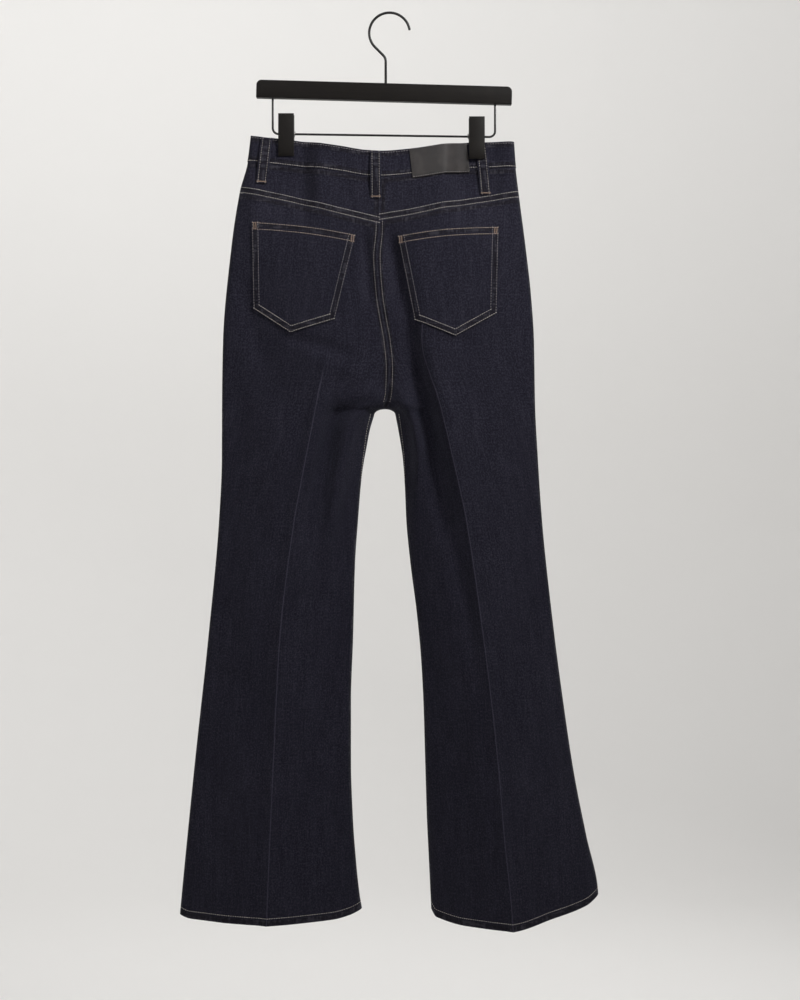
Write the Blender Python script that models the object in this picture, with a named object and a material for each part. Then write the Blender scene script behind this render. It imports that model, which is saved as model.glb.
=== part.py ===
"""Bootcut jeans hanging by the waist from a clip hanger, with pressed creases and the back outward.

The garment's back faces -Y, its front +Y, and +Z is up. The origin is the inner top of the
hanger's hook. Sizes are in millimetres until a mesh is made, and "down" is a distance below
the origin. Every cloth piece is a thin wall through sections read from the tables below.
"""

import math

import bmesh
import bpy
import numpy as np
from mathutils import Vector
from mathutils.bvhtree import BVHTree

MM = 0.001

# Cloth
DENIM = 1.5
BAND_WALL = 2.6
BAND_PROUD = 0.6
BAND_WIDTH = 36.0
HEM_WALL = 2.9
HEM_WIDTH = 11.0
POCKET_WALL = 1.3
LOOP_WIDTH = 13.5
LOOP_WALL = 1.6
PATCH_WALL = 1.2
SEAM_GAP = 0.3
LAID_GAP = 0.35
FOLD_RADIUS = 7.0

# Crotch
FORK_ACROSS = -6.0
FORK_DOWN = 543.8
FORK_TURN = 26.0
FORK_OPENING = 45.0
BRIDGE_DROP = 8.0

# Front pocket mouths
MOUTH_WIDTH = 95.0
MOUTH_DROP = 75.0
FACING_OVERLAP = 18.0
FACING_INSET = 3.7
FACING_WALL = 1.0

# Fly
FLY_WIDTH = 38.0
FLY_LENGTH = 165.0
FLY_WALL = 1.2
BUTTON_RADIUS = 8.5
BUTTON_HEIGHT = 3.2

# Hanger
BAR_LENGTH = 351.5
BAR_HEIGHT = 24.5
BAR_DEPTH = 12.0
BAR_ACROSS = -7.4
BAR_DOWN = 108.3
BAR_TILT = math.radians(1.6)
BAR_CORNER = 7.0
HOOK_WIRE = 3.6
HOOK_RADIUS = 27.9
HOOK_TIP_ANGLE = math.radians(8)
HOOK_TURN = math.radians(197)
STEM_ACROSS = -5.2
RAIL_WIRE = 3.0
RAIL_CORNER = 8.0
RAIL_LEFT = (-160.7, 165.1)
RAIL_RIGHT = (145.2, 169.2)
CLIP_WIDTH = 21.5
CLIP_HEIGHT = 58.5
CLIP_WALL = 3.6
CLIP_FLAT = 20.0
CLIP_REACH = 30.0
CLIP_HOLD = 215.0
CLIP_FADE = 105.0
HELD_DEPTH = 3.4
JAW_FACE = 4.35
BARREL_RADIUS = 4.0
BARREL_LENGTH = 17.0
JAW_STEP = 0.9

# The clips: how far across the middle of each is, and how far down its upper end.
CLIPS = {
    "left": (-142.0, 138.0),
    "right": (120.0, 142.3),
}

# A leg's sections from the waist to the hem: how far down each lies, where the side seam and the
# pressed crease are across, how far the crease stands out behind and in front, and how sharp it is.
LEG_COLUMNS = ("down", "outseam", "crease", "back", "front", "sharp")
LEGS = {
    "left": (
        (170, -190.6, -98, 15, 13, 0.0),
        (206, -195.4, -98, 18, 15, 0.0),
        (245, -206.0, -98, 23, 19, 0.0),
        (325, -218.1, -96, 28, 26, 0.0),
        (449, -229.1, -84, 33, 30, 0.25),
        (531, -230.5, -98, 36, 31, 0.8),
        (614, -230.8, -114, 37, 32, 0.9),
        (696, -234.6, -129, 36, 31, 1.0),
        (861, -249.7, -149, 36, 32, 1.0),
        (1027, -267.6, -157, 43, 39, 1.0),
        (1192, -284.1, -164, 50, 46, 1.0),
        (1250, -289.5, -166, 52, 48, 1.0),
    ),
    "right": (
        (170, 170.5, 75, 16, 13, 0.0),
        (206, 173.0, 75, 19, 16, 0.0),
        (245, 177.5, 74, 24, 20, 0.0),
        (325, 187.8, 66, 30, 27, 0.0),
        (387, 194.7, 52, 34, 30, 0.1),
        (449, 198.8, 44, 39, 33, 0.6),
        (537, 200.3, 68, 46, 38, 1.0),
        (609, 204.0, 85, 48, 40, 1.0),
        (696, 209.8, 104, 47, 40, 1.0),
        (839, 225.0, 125, 50, 42, 1.0),
        (944, 238.7, 138, 56, 47, 1.0),
        (1042, 253.4, 148, 61, 52, 1.0),
        (1129, 270.5, 155, 67, 58, 1.0),
        (1206, 286.9, 163, 71, 65, 1.0),
        (1250, 288.5, 166, 73, 67, 1.0),
    ),
}

# The centre seams over the seat and the stomach, down to the fork.
CENTRE_COLUMNS = ("down", "across", "back", "front")
CENTRE = (
    (170, -14, 18, 18),
    (245, -13, 22, 21),
    (302, -14, 25, 24),
    (337, -17, 26, 25),
    (385, -14, 26, 26),
    (419, -9, 25, 25),
    (453, -3, 23, 24),
    (489, 0, 20, 21),
    (520, -1, 17, 18),
    (544, -6, 15, 16),
)

# The inseams from the fork to the hem.
INSEAM_COLUMNS = ("down", "across")
INSEAMS = {
    "left": (
        (552, -21),
        (572, -27),
        (593, -31),
        (634, -38),
        (696, -43.3),
        (758, -47.5),
        (861, -50.2),
        (944, -53),
        (1027, -53),
        (1109, -50.2),
        (1171, -45.5),
        (1212, -41),
        (1245, -35),
    ),
    "right": (
        (552, 8),
        (572, 12),
        (614, 18.5),
        (655, 21.3),
        (696, 23),
        (758, 29),
        (820, 37),
        (882, 43),
        (944, 46.5),
        (1027, 49),
        (1109, 51.5),
        (1171, 54.5),
        (1245, 58),
    ),
}

# Edges and seams that run across: how far down each lies at points across.
EDGE_COLUMNS = ("across", "down")
WAIST_BACK = ((-192, 170), (-142, 176), (-68, 185), (-16, 188), (25, 186), (106, 178), (172, 177))
WAIST_FRONT = ((-192, 170), (-142, 176), (-68, 188), (-12, 193), (40, 189), (106, 179), (172, 177))
YOKE_SEAM = ((-207, 247), (-159, 253), (-70, 274), (-13, 284), (83, 266), (179, 251))
HEMS = {
    "left": ((-290, 1237), (-272, 1242), (-165, 1244), (-76, 1241), (-55, 1237), (-36, 1229)),
    "right": ((57, 1230), (64, 1240), (104, 1246.5), (165, 1247), (218, 1236), (269, 1223), (288, 1210)),
}

# Folds: a curve through a start, a bend and an end, with a height (a trough is below zero) and a
# half-width, on one face of the garment.
FOLD_COLUMNS = ("face", "x0", "down0", "x1", "down1", "x2", "down2", "height", "width")
FOLDS = (
    ("back", -20, 524, -58, 560, -84, 718, 7, 10),
    ("back", -62, 530, -88, 585, -92, 665, -8, 12),
    ("back", 8, 525, 56, 560, 30, 700, 7, 10),
    ("back", 16, 335, 52, 560, 104, 800, -9, 15),
    ("back", -48, 290, -50, 340, -60, 395, 3, 9),
    ("back", -196, 415, -150, 480, -112, 560, -4, 24),
    ("front", -20, 524, -56, 570, -88, 700, 6, 11),
    ("front", 8, 525, 50, 570, 62, 700, 6, 11),
    ("front", -150, 330, -110, 430, -40, 500, -3, 22),
    ("front", 140, 330, 90, 430, 28, 500, -3, 22),
)
FOLD_MARGIN = 12.0

# The sections' heights: the outer one holds from the side seam to the crease, the inner one at
# the centre seam and inseam, where sections crowd round the fork.
BACK_ROWS = (
    (258, 284),
    (300, 320),
    (345, 362),
    (392, 405),
    (436, 445),
    (474, 482),
    (506, 508),
    (526, FORK_DOWN - FORK_TURN),
    (543, FORK_DOWN - 0.5 * FORK_TURN),
    (556, FORK_DOWN - 0.134 * FORK_TURN),
    (568, FORK_DOWN),
    (579, FORK_DOWN + 0.134 * BRIDGE_DROP),
    (591, FORK_DOWN + 0.5 * BRIDGE_DROP),
    (604, FORK_DOWN + BRIDGE_DROP),
    (620, 566),
    (642, 590),
    (672, 626),
    (712, 680),
    (765, 748),
    (830, 826),
    (905, 905),
    (985, 985),
    (1070, 1070),
    (1155, 1155),
)
FRONT_ROWS = (
    (212, 229),
    (231, 250),
    (249, 270),
    (266, 288),
    (277, 303),
    (283.5, 316),
    (286, 328),
    (287, 340),
    (315, 362),
    (392, 405),
    (440, 452),
    (490, 495),
    (526, FORK_DOWN - FORK_TURN),
    (543, FORK_DOWN - 0.5 * FORK_TURN),
    (556, FORK_DOWN - 0.134 * FORK_TURN),
    (568, FORK_DOWN),
    (579, FORK_DOWN + 0.134 * BRIDGE_DROP),
    (591, FORK_DOWN + 0.5 * BRIDGE_DROP),
    (604, FORK_DOWN + BRIDGE_DROP),
    (625, 575),
    (665, 620),
    (720, 690),
    (800, 785),
    (905, 905),
    (1030, 1030),
    (1155, 1155),
)
WAIST_DOWN = 200.0
SETTLING = 6
TOP_FADE = 150.0
HEM_FADE = 180.0
OUTER_STEPS = 5
INNER_STEPS = {"back": 7, "front": 5}

# Back pockets: each corner across and down.
POCKET_CORNERS = ("top_outer", "top_inner", "foot_inner", "point", "foot_outer")
POCKETS = {
    "left": ((-188.5, 287.5), (-46, 307), (-74, 423), (-135, 441), (-186.5, 407)),
    "right": ((149.5, 294.5), (11, 308), (34, 424), (90, 446), (146.5, 414)),
}
POCKET_TOP_BOW = 2.5
POCKET_ACROSS = 12
POCKET_ROWS = 10

# Belt loops: the face, the upper end across, the lower end across, and how far the lower end is
# below the waistband's lower edge.
LOOP_COLUMNS = ("face", "top_across", "foot_across", "foot_below")
LOOPS = {
    "back_left": ("back", -168.5, -175.5, 27),
    "back_centre": ("back", -19, -18.5, 29),
    "back_right": ("back", 125.5, 132, 36),
    "front_left": ("front", -89, -90, 26),
    "front_right": ("front", 67, 68, 26),
}
LOOP_RISE = 2.2
LOOP_FREE = 10.0
LOOP_ROWS = 9
EDGE_INSET = 0.5

# The leather patch: corners on the waistband, as how far across and how far below its top edge.
PATCH_LEFT = (27.0, 31.5)
PATCH_RIGHT = (106.0, 110.5)
PATCH_HEIGHT = 40.0

COLOURS = {
    "denim": ((0.013, 0.015, 0.028), 0.85, 0.0),
    "leather": ((0.012, 0.012, 0.013), 0.45, 0.0),
    "hanger": ((0.01, 0.01, 0.011), 0.4, 0.0),
    "metal": ((0.25, 0.24, 0.23), 0.35, 1.0),
}


def smooth(places, values, at):
    """A smooth curve through the points that never swings past them."""
    places = np.asarray(places, float)
    values = np.asarray(values, float)
    at = np.clip(np.asarray(at, float), places[0], places[-1])
    step = np.diff(places)
    slope = np.diff(values) / step
    product = slope[:-1] * slope[1:]
    total = np.where(product > 0, slope[:-1] + slope[1:], 1)
    middle = np.where(product > 0, 2 * product / total, 0)
    tangent = np.concatenate([slope[:1], middle, slope[-1:]])
    i = np.clip(np.searchsorted(places, at, side="right") - 1, 0, len(step) - 1)
    t = (at - places[i]) / step[i]
    rise = values[i] * (1 + 2 * t) * (1 - t) ** 2 + values[i + 1] * t**2 * (3 - 2 * t)
    turn = tangent[i] * t * (1 - t) ** 2 - tangent[i + 1] * t**2 * (1 - t)
    return rise + step[i] * turn


def read(table, columns, name, by, at):
    """One named column of a table, at places along another."""
    rows = list(zip(*table))
    return smooth(rows[columns.index(by)], rows[columns.index(name)], at)


def ease(amount):
    amount = np.clip(amount, 0, 1)
    return amount * amount * (3 - 2 * amount)


def leg_value(leg, name, down):
    return read(LEGS[leg], LEG_COLUMNS, name, "down", down)


def centre_value(name, down):
    return read(CENTRE, CENTRE_COLUMNS, name, "down", down)


def edge_down(table, across):
    return read(table, EDGE_COLUMNS, "down", "across", across)


def inner_across(leg, down):
    """The centre seam above the fork, and below it the inseam, which leaves the fork in an arch."""
    centre = centre_value("across", down)
    inseam = read(INSEAMS[leg], INSEAM_COLUMNS, "across", "down", down)
    along = np.clip((down - FORK_DOWN) / BRIDGE_DROP, 0, 1)
    arch = np.sqrt(1 - (1 - along) ** 2)
    return np.where(down <= FORK_DOWN, centre, FORK_ACROSS + (inseam - FORK_ACROSS) * arch)


def rounded_edge(distance):
    """How far cloth stands out near a seam at the garment's outline, where it turns round it."""
    along = np.clip(distance / FOLD_RADIUS, 0, 1)
    return FOLD_RADIUS * np.sqrt(1 - (1 - along) ** 2)


def folds(face, across, down):
    """The sum of the folds on one face."""
    total = np.zeros(np.shape(across))
    along = np.linspace(0, 1, 13)
    for row in FOLDS:
        fold = dict(zip(FOLD_COLUMNS, row))
        if fold["face"] != face:
            continue
        first = (1 - along) ** 2
        bend = 2 * along * (1 - along)
        last = along**2
        fold_across = first * fold["x0"] + bend * fold["x1"] + last * fold["x2"]
        fold_down = first * fold["down0"] + bend * fold["down1"] + last * fold["down2"]
        strength = np.sin(math.pi * np.clip(along * 0.8 + 0.1, 0, 1))
        best = np.zeros(np.shape(across))
        for x, z, strong in zip(fold_across, fold_down, strength):
            far = (across - x) ** 2 + (0.35 * (down - z)) ** 2
            best = np.maximum(best, strong * np.exp(-far / fold["width"] ** 2))
        total = total + fold["height"] * best
    return total


def stand_out(leg, face, across, down):
    """How far a face of the garment stands out from the plane through its side seams."""
    outseam = leg_value(leg, "outseam", down)
    crease = leg_value(leg, "crease", down)
    inner = inner_across(leg, down)
    depth = leg_value(leg, face, down)
    sharp = leg_value(leg, "sharp", down)
    from_outseam = np.clip((across - outseam) / (crease - outseam), 0, 1)
    from_inner = np.clip((across - inner) / (crease - inner), 0, 1)
    to_outseam = np.abs(across - outseam)
    to_inner = np.abs(across - inner)

    bowed = np.sin(0.5 * math.pi * from_outseam)
    flat = 0.8 * from_outseam + 0.2 * bowed
    outer_half = rounded_edge(to_outseam) + (depth - FOLD_RADIUS) * (bowed + (flat - bowed) * sharp)

    turned = np.clip((down - (FORK_DOWN - FORK_TURN)) / FORK_TURN, 0, 1)
    centre = centre_value(face, down) * np.sqrt(1 - turned**2)
    level = 0.5 - 0.5 * np.cos(math.pi * from_inner)
    lifted = from_inner**2 * (2 - from_inner)
    joined = centre + (depth - centre) * (level + (lifted - level) * sharp)
    bowed = np.sin(0.5 * math.pi * from_inner)
    flat = 0.8 * from_inner + 0.2 * bowed
    parted = centre + rounded_edge(to_inner)
    parted = parted + (depth - centre - FOLD_RADIUS) * (bowed + (flat - bowed) * sharp)
    parting = ease((down - (FORK_DOWN - FORK_OPENING)) / FORK_OPENING)
    inner_half = joined + (parted - joined) * parting

    out = np.where(from_outseam < 1, outer_half, inner_half)
    near_edge = np.where(down > FORK_DOWN - FORK_TURN, np.minimum(to_outseam, to_inner), to_outseam)
    out = out + folds(face, across, down) * ease(near_edge / FOLD_MARGIN)
    for clip_across, _ in CLIPS.values():
        held = ease((CLIP_FLAT + CLIP_REACH - np.abs(across - clip_across)) / CLIP_REACH)
        held = held * (1 - ease((down - CLIP_HOLD) / CLIP_FADE))
        out = out + (np.minimum(HELD_DEPTH, out) - out) * held
    return np.maximum(out, 0)


def towards_middle(leg):
    return 1 if leg == "left" else -1


def outward(face):
    return -1 if face == "back" else 1


def columns_across(leg, down, inner_steps, mouth=None):
    """Where the columns of one section lie, from the side seam (or pocket mouth) to the inner line."""
    side = towards_middle(leg)
    corner = np.array([0, 0.3 * FOLD_RADIUS, FOLD_RADIUS])
    start = leg_value(leg, "outseam", down) + (0 if mouth is None else side * mouth)
    crease = leg_value(leg, "crease", down)
    end = inner_across(leg, down) - side * 0.5 * SEAM_GAP * (down <= FORK_DOWN)
    first = start + side * FOLD_RADIUS
    last = end - side * FOLD_RADIUS
    places = [start[i] + side * corner[i] for i in range(3)]
    for share in np.arange(1, OUTER_STEPS + 1) / OUTER_STEPS:
        i = len(places)
        places.append(first[i] * (1 - share) + crease[i] * share)
    for share in np.arange(1, inner_steps + 1) / inner_steps:
        i = len(places)
        places.append(crease[i] * (1 - share) + last[i] * share)
    for inset in corner[1::-1]:
        places.append(end[len(places)] - side * inset)
    return np.array(places)


def mouth_reach(down, top):
    """How far the front pocket's mouth reaches in from the side seam."""
    along = np.clip((down - top) / MOUTH_DROP, 0, 1)
    return MOUTH_WIDTH * np.cos(0.5 * math.pi * along)


def panel_places(leg, face):
    """Across and down for each point of a leg panel."""
    top_edge = YOKE_SEAM if face == "back" else WAIST_FRONT
    lowered = 0.5 * SEAM_GAP + (0 if face == "back" else BAND_WIDTH)
    inner_steps = INNER_STEPS[face]
    count = 3 + OUTER_STEPS + inner_steps + 2
    rows = list(BACK_ROWS if face == "back" else FRONT_ROWS)
    hem = float(np.mean(list(zip(*HEMS[leg]))[1]))
    rows += [(hem - HEM_WIDTH - 0.5,) * 2, (hem - HEM_WIDTH,) * 2, (hem,) * 2]
    share = np.clip((np.arange(count) - (2 + OUTER_STEPS)) / (count - 3 - OUTER_STEPS), 0, 1)
    share = ease(share)
    bases = np.array([outer + (inner - outer) * share for outer, inner in rows])
    across = np.zeros(bases.shape)
    down = bases.copy()
    for row, base in enumerate(bases):
        top_pull = np.clip(1 - (base - bases[0]) / TOP_FADE, 0, 1)
        hem_pull = np.clip(1 - (bases[-1] - base) / HEM_FADE, 0, 1)
        for _ in range(SETTLING):
            mouth = None
            if face == "front":
                mouth_top = edge_down(top_edge, across[row, 0]) + lowered if row else down[0, 0]
                mouth = float(mouth_reach(down[row, 0], mouth_top))
            across[row] = columns_across(leg, down[row], inner_steps, mouth)
            top = (edge_down(top_edge, across[row]) + lowered - bases[0]) * top_pull
            bottom = (edge_down(HEMS[leg], across[row]) - bases[-1]) * hem_pull
            down[row] = base + top + bottom
    return across, down


def points_on(leg, face, across, down):
    out = stand_out(leg, face, across, down) + 0.5 * SEAM_GAP
    return np.stack([across, outward(face) * out, -down], axis=-1)


def grid_normals(points, away):
    """Unit normals at the points of a grid, on the side that away names."""
    right = points[:-1, 1:] - points[:-1, :-1]
    below = points[1:, :-1] - points[:-1, :-1]
    right_below = points[1:, 1:] - points[1:, :-1]
    far_below = points[1:, 1:] - points[:-1, 1:]
    faces = np.cross(right, below) + np.cross(right_below, far_below)
    normals = np.zeros(points.shape)
    for rows in (slice(None, -1), slice(1, None)):
        for columns in (slice(None, -1), slice(1, None)):
            normals[rows, columns] += faces
    normals /= np.linalg.norm(normals, axis=-1, keepdims=True)
    return normals if (normals * away).sum() > 0 else -normals


def flatten(normals, axis, chosen):
    """Keeps chosen normals in the plane of a seam, so that both sides of the seam meet squarely."""
    normals[chosen + (axis,)] = 0
    normals[chosen] /= np.linalg.norm(normals[chosen], axis=-1, keepdims=True)


def material(name):
    colour, roughness, metallic = COLOURS[name]
    found = bpy.data.materials.get(name)
    if found:
        return found
    made = bpy.data.materials.new(name)
    made.use_nodes = True
    shader = made.node_tree.nodes["Principled BSDF"]
    shader.inputs["Base Color"].default_value = (*colour, 1)
    shader.inputs["Roughness"].default_value = roughness
    shader.inputs["Metallic"].default_value = metallic
    return made


def add(name, mesh, finish):
    mesh.materials.append(material(finish))
    obj = bpy.data.objects.new(name, mesh)
    bpy.context.scene.collection.objects.link(obj)
    return obj


def wall(name, outer, inner, finish="denim"):
    """One closed solid between two grids of points."""
    rows, columns = outer.shape[:2]
    made = bmesh.new()
    skins = []
    for points in (outer, inner):
        skins.append([[made.verts.new(Vector(p) * MM) for p in row] for row in points])
    for skin in skins:
        for r in range(rows - 1):
            for c in range(columns - 1):
                made.faces.new((skin[r][c], skin[r][c + 1], skin[r + 1][c + 1], skin[r + 1][c]))
    around = [(0, c) for c in range(columns)]
    around += [(r, columns - 1) for r in range(1, rows)]
    around += [(rows - 1, c) for c in range(columns - 2, -1, -1)]
    around += [(r, 0) for r in range(rows - 2, 0, -1)]
    for here, there in zip(around, around[1:] + around[:1]):
        first, second = (skins[0][r][c] for r, c in (here, there))
        third, fourth = (skins[1][r][c] for r, c in (there, here))
        made.faces.new((first, second, third, fourth))
    bmesh.ops.recalc_face_normals(made, faces=made.faces)
    mesh = bpy.data.meshes.new(name)
    made.to_mesh(mesh)
    made.free()
    mesh.shade_smooth()
    mesh.set_sharp_from_angle(angle=math.radians(40))
    return add(name, mesh, finish)


def leg_panel(leg, face):
    """A front or back from its top seam to the hem, with the turned-up hem as a thicker wall."""
    across, down = panel_places(leg, face)
    points = points_on(leg, face, across, down)
    normals = grid_normals(points, np.array([0, outward(face), 0]))
    rows = len(down)
    seam_rows = np.arange(rows)
    if face == "front":
        seam_rows = seam_rows[[int(i) for i in range(rows) if points[i, 0, 1] < SEAM_GAP]]
    above = np.flatnonzero(down[:, -1] <= FORK_DOWN)
    below = np.flatnonzero(down[:, -1] >= FORK_DOWN)
    flatten(normals, 1, (seam_rows, 0))
    flatten(normals, 0, (above, -1))
    flatten(normals, 1, (below, -1))
    flatten(normals, 2, (0, slice(None)))
    flatten(normals, 2, (-1, slice(None)))
    thickness = np.full((rows, 1, 1), DENIM)
    thickness[-2:] = HEM_WALL
    return wall(f"{face}_panel_{leg}", points, points - normals * thickness)


def yoke(leg):
    """The shaped piece between the waistband and a back panel."""
    shares = np.linspace(0, 1, 4)
    count = 5 + OUTER_STEPS + INNER_STEPS["back"]
    down = np.full((len(shares), count), WAIST_DOWN)
    across = np.zeros(down.shape)
    for row, share in enumerate(shares):
        for _ in range(SETTLING):
            across[row] = columns_across(leg, down[row], INNER_STEPS["back"])
            top = edge_down(WAIST_BACK, across[row]) + BAND_WIDTH + 0.5 * SEAM_GAP
            foot = edge_down(YOKE_SEAM, across[row]) - 0.5 * SEAM_GAP
            down[row] = top + (foot - top) * share
    points = points_on(leg, "back", across, down)
    normals = grid_normals(points, np.array([0, -1, 0]))
    everything = slice(None)
    flatten(normals, 1, (everything, 0))
    flatten(normals, 0, (everything, -1))
    flatten(normals, 2, (0, slice(None)))
    flatten(normals, 2, (-1, slice(None)))
    return wall(f"yoke_{leg}", points, points - normals * DENIM)


def waistband():
    """One band from the fly round the back and to the fly again, two layers thick."""
    parts = []
    for leg, face in (("left", "front"), ("left", "back"), ("right", "back"), ("right", "front")):
        edge = WAIST_BACK if face == "back" else WAIST_FRONT
        count = 5 + OUTER_STEPS + INNER_STEPS["back"]
        down = np.full((3, count), WAIST_DOWN)
        across = np.zeros(down.shape)
        for row, share in enumerate((0, 0.5, 1)):
            for _ in range(SETTLING):
                across[row] = columns_across(leg, down[row], INNER_STEPS["back"])
                height = BAND_WIDTH - SEAM_GAP
                down[row] = edge_down(edge, across[row]) + height * share
        points = points_on(leg, face, across, down)
        outer_first = (leg, face) in (("left", "back"), ("right", "front"))
        part = points if outer_first else points[:, ::-1]
        parts.append(part)
    parts[2] = parts[2][:, 1:]
    band = np.concatenate(parts, axis=1)
    away = band - band.mean(axis=(0, 1))
    normals = grid_normals(band, away)
    for column in (0, -1):
        flatten(normals, 0, (slice(None), column))
    flatten(normals, 2, (0, slice(None)))
    flatten(normals, 2, (-1, slice(None)))
    outer = band + normals * BAND_PROUD
    inner = band - normals * (BAND_WALL - BAND_PROUD)
    return wall("waistband", outer, inner)


def facing(leg):
    """The denim that shows inside a front pocket's mouth, set behind the panel."""
    side = towards_middle(leg)
    reach = np.linspace(FOLD_RADIUS, MOUTH_WIDTH + FACING_OVERLAP, 6)
    reach = np.concatenate([[0, 0.3 * FOLD_RADIUS], reach])
    shares = np.linspace(0, 1, 6)[:, None]
    down = np.full((len(shares), len(reach)), WAIST_DOWN)
    for _ in range(SETTLING):
        across = leg_value(leg, "outseam", down) + side * reach
        top = edge_down(WAIST_FRONT, across) + BAND_WIDTH + 0.5 * SEAM_GAP
        down = top + shares * (MOUTH_DROP + FACING_OVERLAP)
    points = points_on(leg, "front", across, down)
    normals = grid_normals(points, np.array([0, 1, 0]))
    flatten(normals, 1, (slice(None), 0))
    flatten(normals, 2, (0, slice(None)))
    outer = points - normals * FACING_INSET
    inner = points - normals * (FACING_INSET + FACING_WALL)
    return wall(f"pocket_facing_{leg}", outer, inner)


class Seat:
    """Finds where something laid on the garment would rest, by rays onto the pieces built so far."""

    def __init__(self, names, face):
        self.side = outward(face)
        self.trees = []
        for name in names:
            mesh = bpy.data.objects[name].data
            mesh.calc_loop_triangles()
            points = [v.co[:] for v in mesh.vertices]
            triangles = [t.vertices[:] for t in mesh.loop_triangles]
            self.trees.append(BVHTree.FromPolygons(points, triangles))

    def out(self, across, down, spread):
        """The furthest that the pieces stand out within a small spread round a point."""
        best = 0.0
        for dx, dz in ((0, 0), (spread, 0), (-spread, 0), (0, spread), (0, -spread)):
            start = Vector(((across + dx) * MM, self.side * 0.4, -(down + dz) * MM))
            for tree in self.trees:
                hit = tree.ray_cast(start, Vector((0, -self.side, 0)), 0.4)[0]
                if hit is not None:
                    best = max(best, self.side * hit.y / MM)
        return best


def clear_of_ridges(out, across, down, seat):
    """Raises a laid piece's points wherever what is under it stands above its faces."""
    shares = np.linspace(0.02, 0.98, 5)
    for _ in range(3):
        raised = out.copy()
        for r in range(out.shape[0] - 1):
            for c in range(out.shape[1] - 1):
                corners = ((r, c), (r, c + 1), (r + 1, c), (r + 1, c + 1))
                short = 0.0
                for v in shares:
                    for u in shares:
                        parts = ((1 - v) * (1 - u), (1 - v) * u, v * (1 - u), v * u)
                        x, z, have = (
                            sum(part * grid[at] for part, at in zip(parts, corners))
                            for grid in (across, down, out)
                        )
                        short = max(short, seat.out(x, z, 0) - have)
                for at in corners:
                    raised[at] = max(raised[at], out[at] + short)
        out[:] = raised


def laid(name, across, down, face, names, thickness, finish="denim", gap=LAID_GAP, spread=1.5, lift=0):
    """A piece that lies on others: its inner points are theirs moved out by a gap."""
    seat = Seat(names, face)
    out = np.array([[seat.out(x, z, spread) for x, z in zip(*pair)] for pair in zip(across, down)])
    clear_of_ridges(out, across, down, seat)
    side = outward(face)
    inner = np.stack([across, side * (out + gap + lift), -down], axis=-1)
    outer = np.stack([across, side * (out + gap + lift + thickness), -down], axis=-1)
    return wall(name, outer, inner, finish)


def back_pocket(leg):
    """A patch pocket with five sides: a slightly bowed top, two sides and a pointed foot."""
    corner = {name: np.array(place) for name, place in zip(POCKET_CORNERS, POCKETS[leg])}
    head_run = corner["top_inner"] - corner["top_outer"]
    point = corner["point"]
    foot_out = corner["foot_outer"]
    foot_in = corner["foot_inner"]
    shares = np.linspace(0, 1, POCKET_ACROSS + 1)
    turn = float((point[0] - foot_out[0]) / (foot_in[0] - foot_out[0]))
    shares[np.argmin(np.abs(shares - turn))] = turn
    across = np.zeros((POCKET_ROWS + 1, len(shares)))
    down = np.zeros(across.shape)
    for column, share in enumerate(shares):
        bow = np.array([0, POCKET_TOP_BOW * math.sin(math.pi * share)])
        head = corner["top_outer"] + head_run * share - bow
        if share <= turn:
            foot = foot_out + (point - foot_out) * share / turn
        else:
            foot = point + (foot_in - point) * (share - turn) / (1 - turn)
        for row, along in enumerate(np.linspace(0, 1, POCKET_ROWS + 1)):
            across[row, column], down[row, column] = head + (foot - head) * along
    return laid(f"back_pocket_{leg}", across, down, "back", [f"back_panel_{leg}"], POCKET_WALL)


def belt_loop(name, row):
    """A folded strip from the waistband's top edge to just below its lower edge, bowed between."""
    loop = dict(zip(LOOP_COLUMNS, row))
    face = loop["face"]
    edge = WAIST_BACK if face == "back" else WAIST_FRONT
    length = BAND_WIDTH + loop["foot_below"]
    along = np.linspace(0, 1, LOOP_ROWS)
    centre = loop["top_across"] + (loop["foot_across"] - loop["top_across"]) * along
    sides = np.linspace(-0.5, 0.5, 3) * LOOP_WIDTH
    across = centre[:, None] + sides[None, :]
    top = float(edge_down(edge, loop["top_across"])) + EDGE_INSET
    down = np.repeat((top + along * length)[:, None], len(sides), axis=1)
    lift = LOOP_RISE * np.sin(math.pi * along)[:, None] ** 2
    if name == "back_right":
        lift = lift * ease((down - CLIPS["right"][1] - CLIP_HEIGHT) / LOOP_FREE)
    names = ["waistband"]
    for leg in LEGS:
        names += [f"yoke_{leg}", f"back_panel_{leg}"] if face == "back" else [f"front_panel_{leg}"]
    return laid(f"belt_loop_{name}", across, down, face, names, LOOP_WALL, spread=4, lift=lift)


def leather_patch():
    """A blank leather patch sewn over the waistband, right of the centre loop."""
    shares = np.linspace(0, 1, 12)
    rows = np.linspace(0, 1, 5)
    head = PATCH_LEFT[0] + (PATCH_RIGHT[0] - PATCH_LEFT[0]) * shares
    foot = PATCH_LEFT[1] + (PATCH_RIGHT[1] - PATCH_LEFT[1]) * shares
    across = head[None, :] + (foot - head)[None, :] * rows[:, None]
    down = edge_down(WAIST_BACK, head)[None, :] + 0.4 + rows[:, None] * PATCH_HEIGHT
    names = ["waistband", "yoke_right"]
    return laid("leather_patch", across, down, "back", names, PATCH_WALL, "leather", spread=2)


def fly():
    """The fly front, a strip with a curved foot that laps the centre seam from the left front."""
    rows = np.linspace(0, 1, 10)
    top = float(edge_down(WAIST_FRONT, -20)) + BAND_WIDTH + 1.5
    shares = np.linspace(0, 1, 5)
    across = np.zeros((len(rows), len(shares)))
    down = np.zeros(across.shape)
    for row, along in enumerate(rows):
        here = top + FLY_LENGTH * along
        seam = float(centre_value("across", here))
        width = FLY_WIDTH * math.sqrt(max(0.02, 1 - max(0, (along - 0.72) / 0.28) ** 2))
        across[row] = seam + 2 - width * (1 - shares)
        down[row] = here
    names = ["front_panel_left", "front_panel_right"]
    return laid("fly", across, down, "front", names, FLY_WALL, spread=2)


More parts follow.
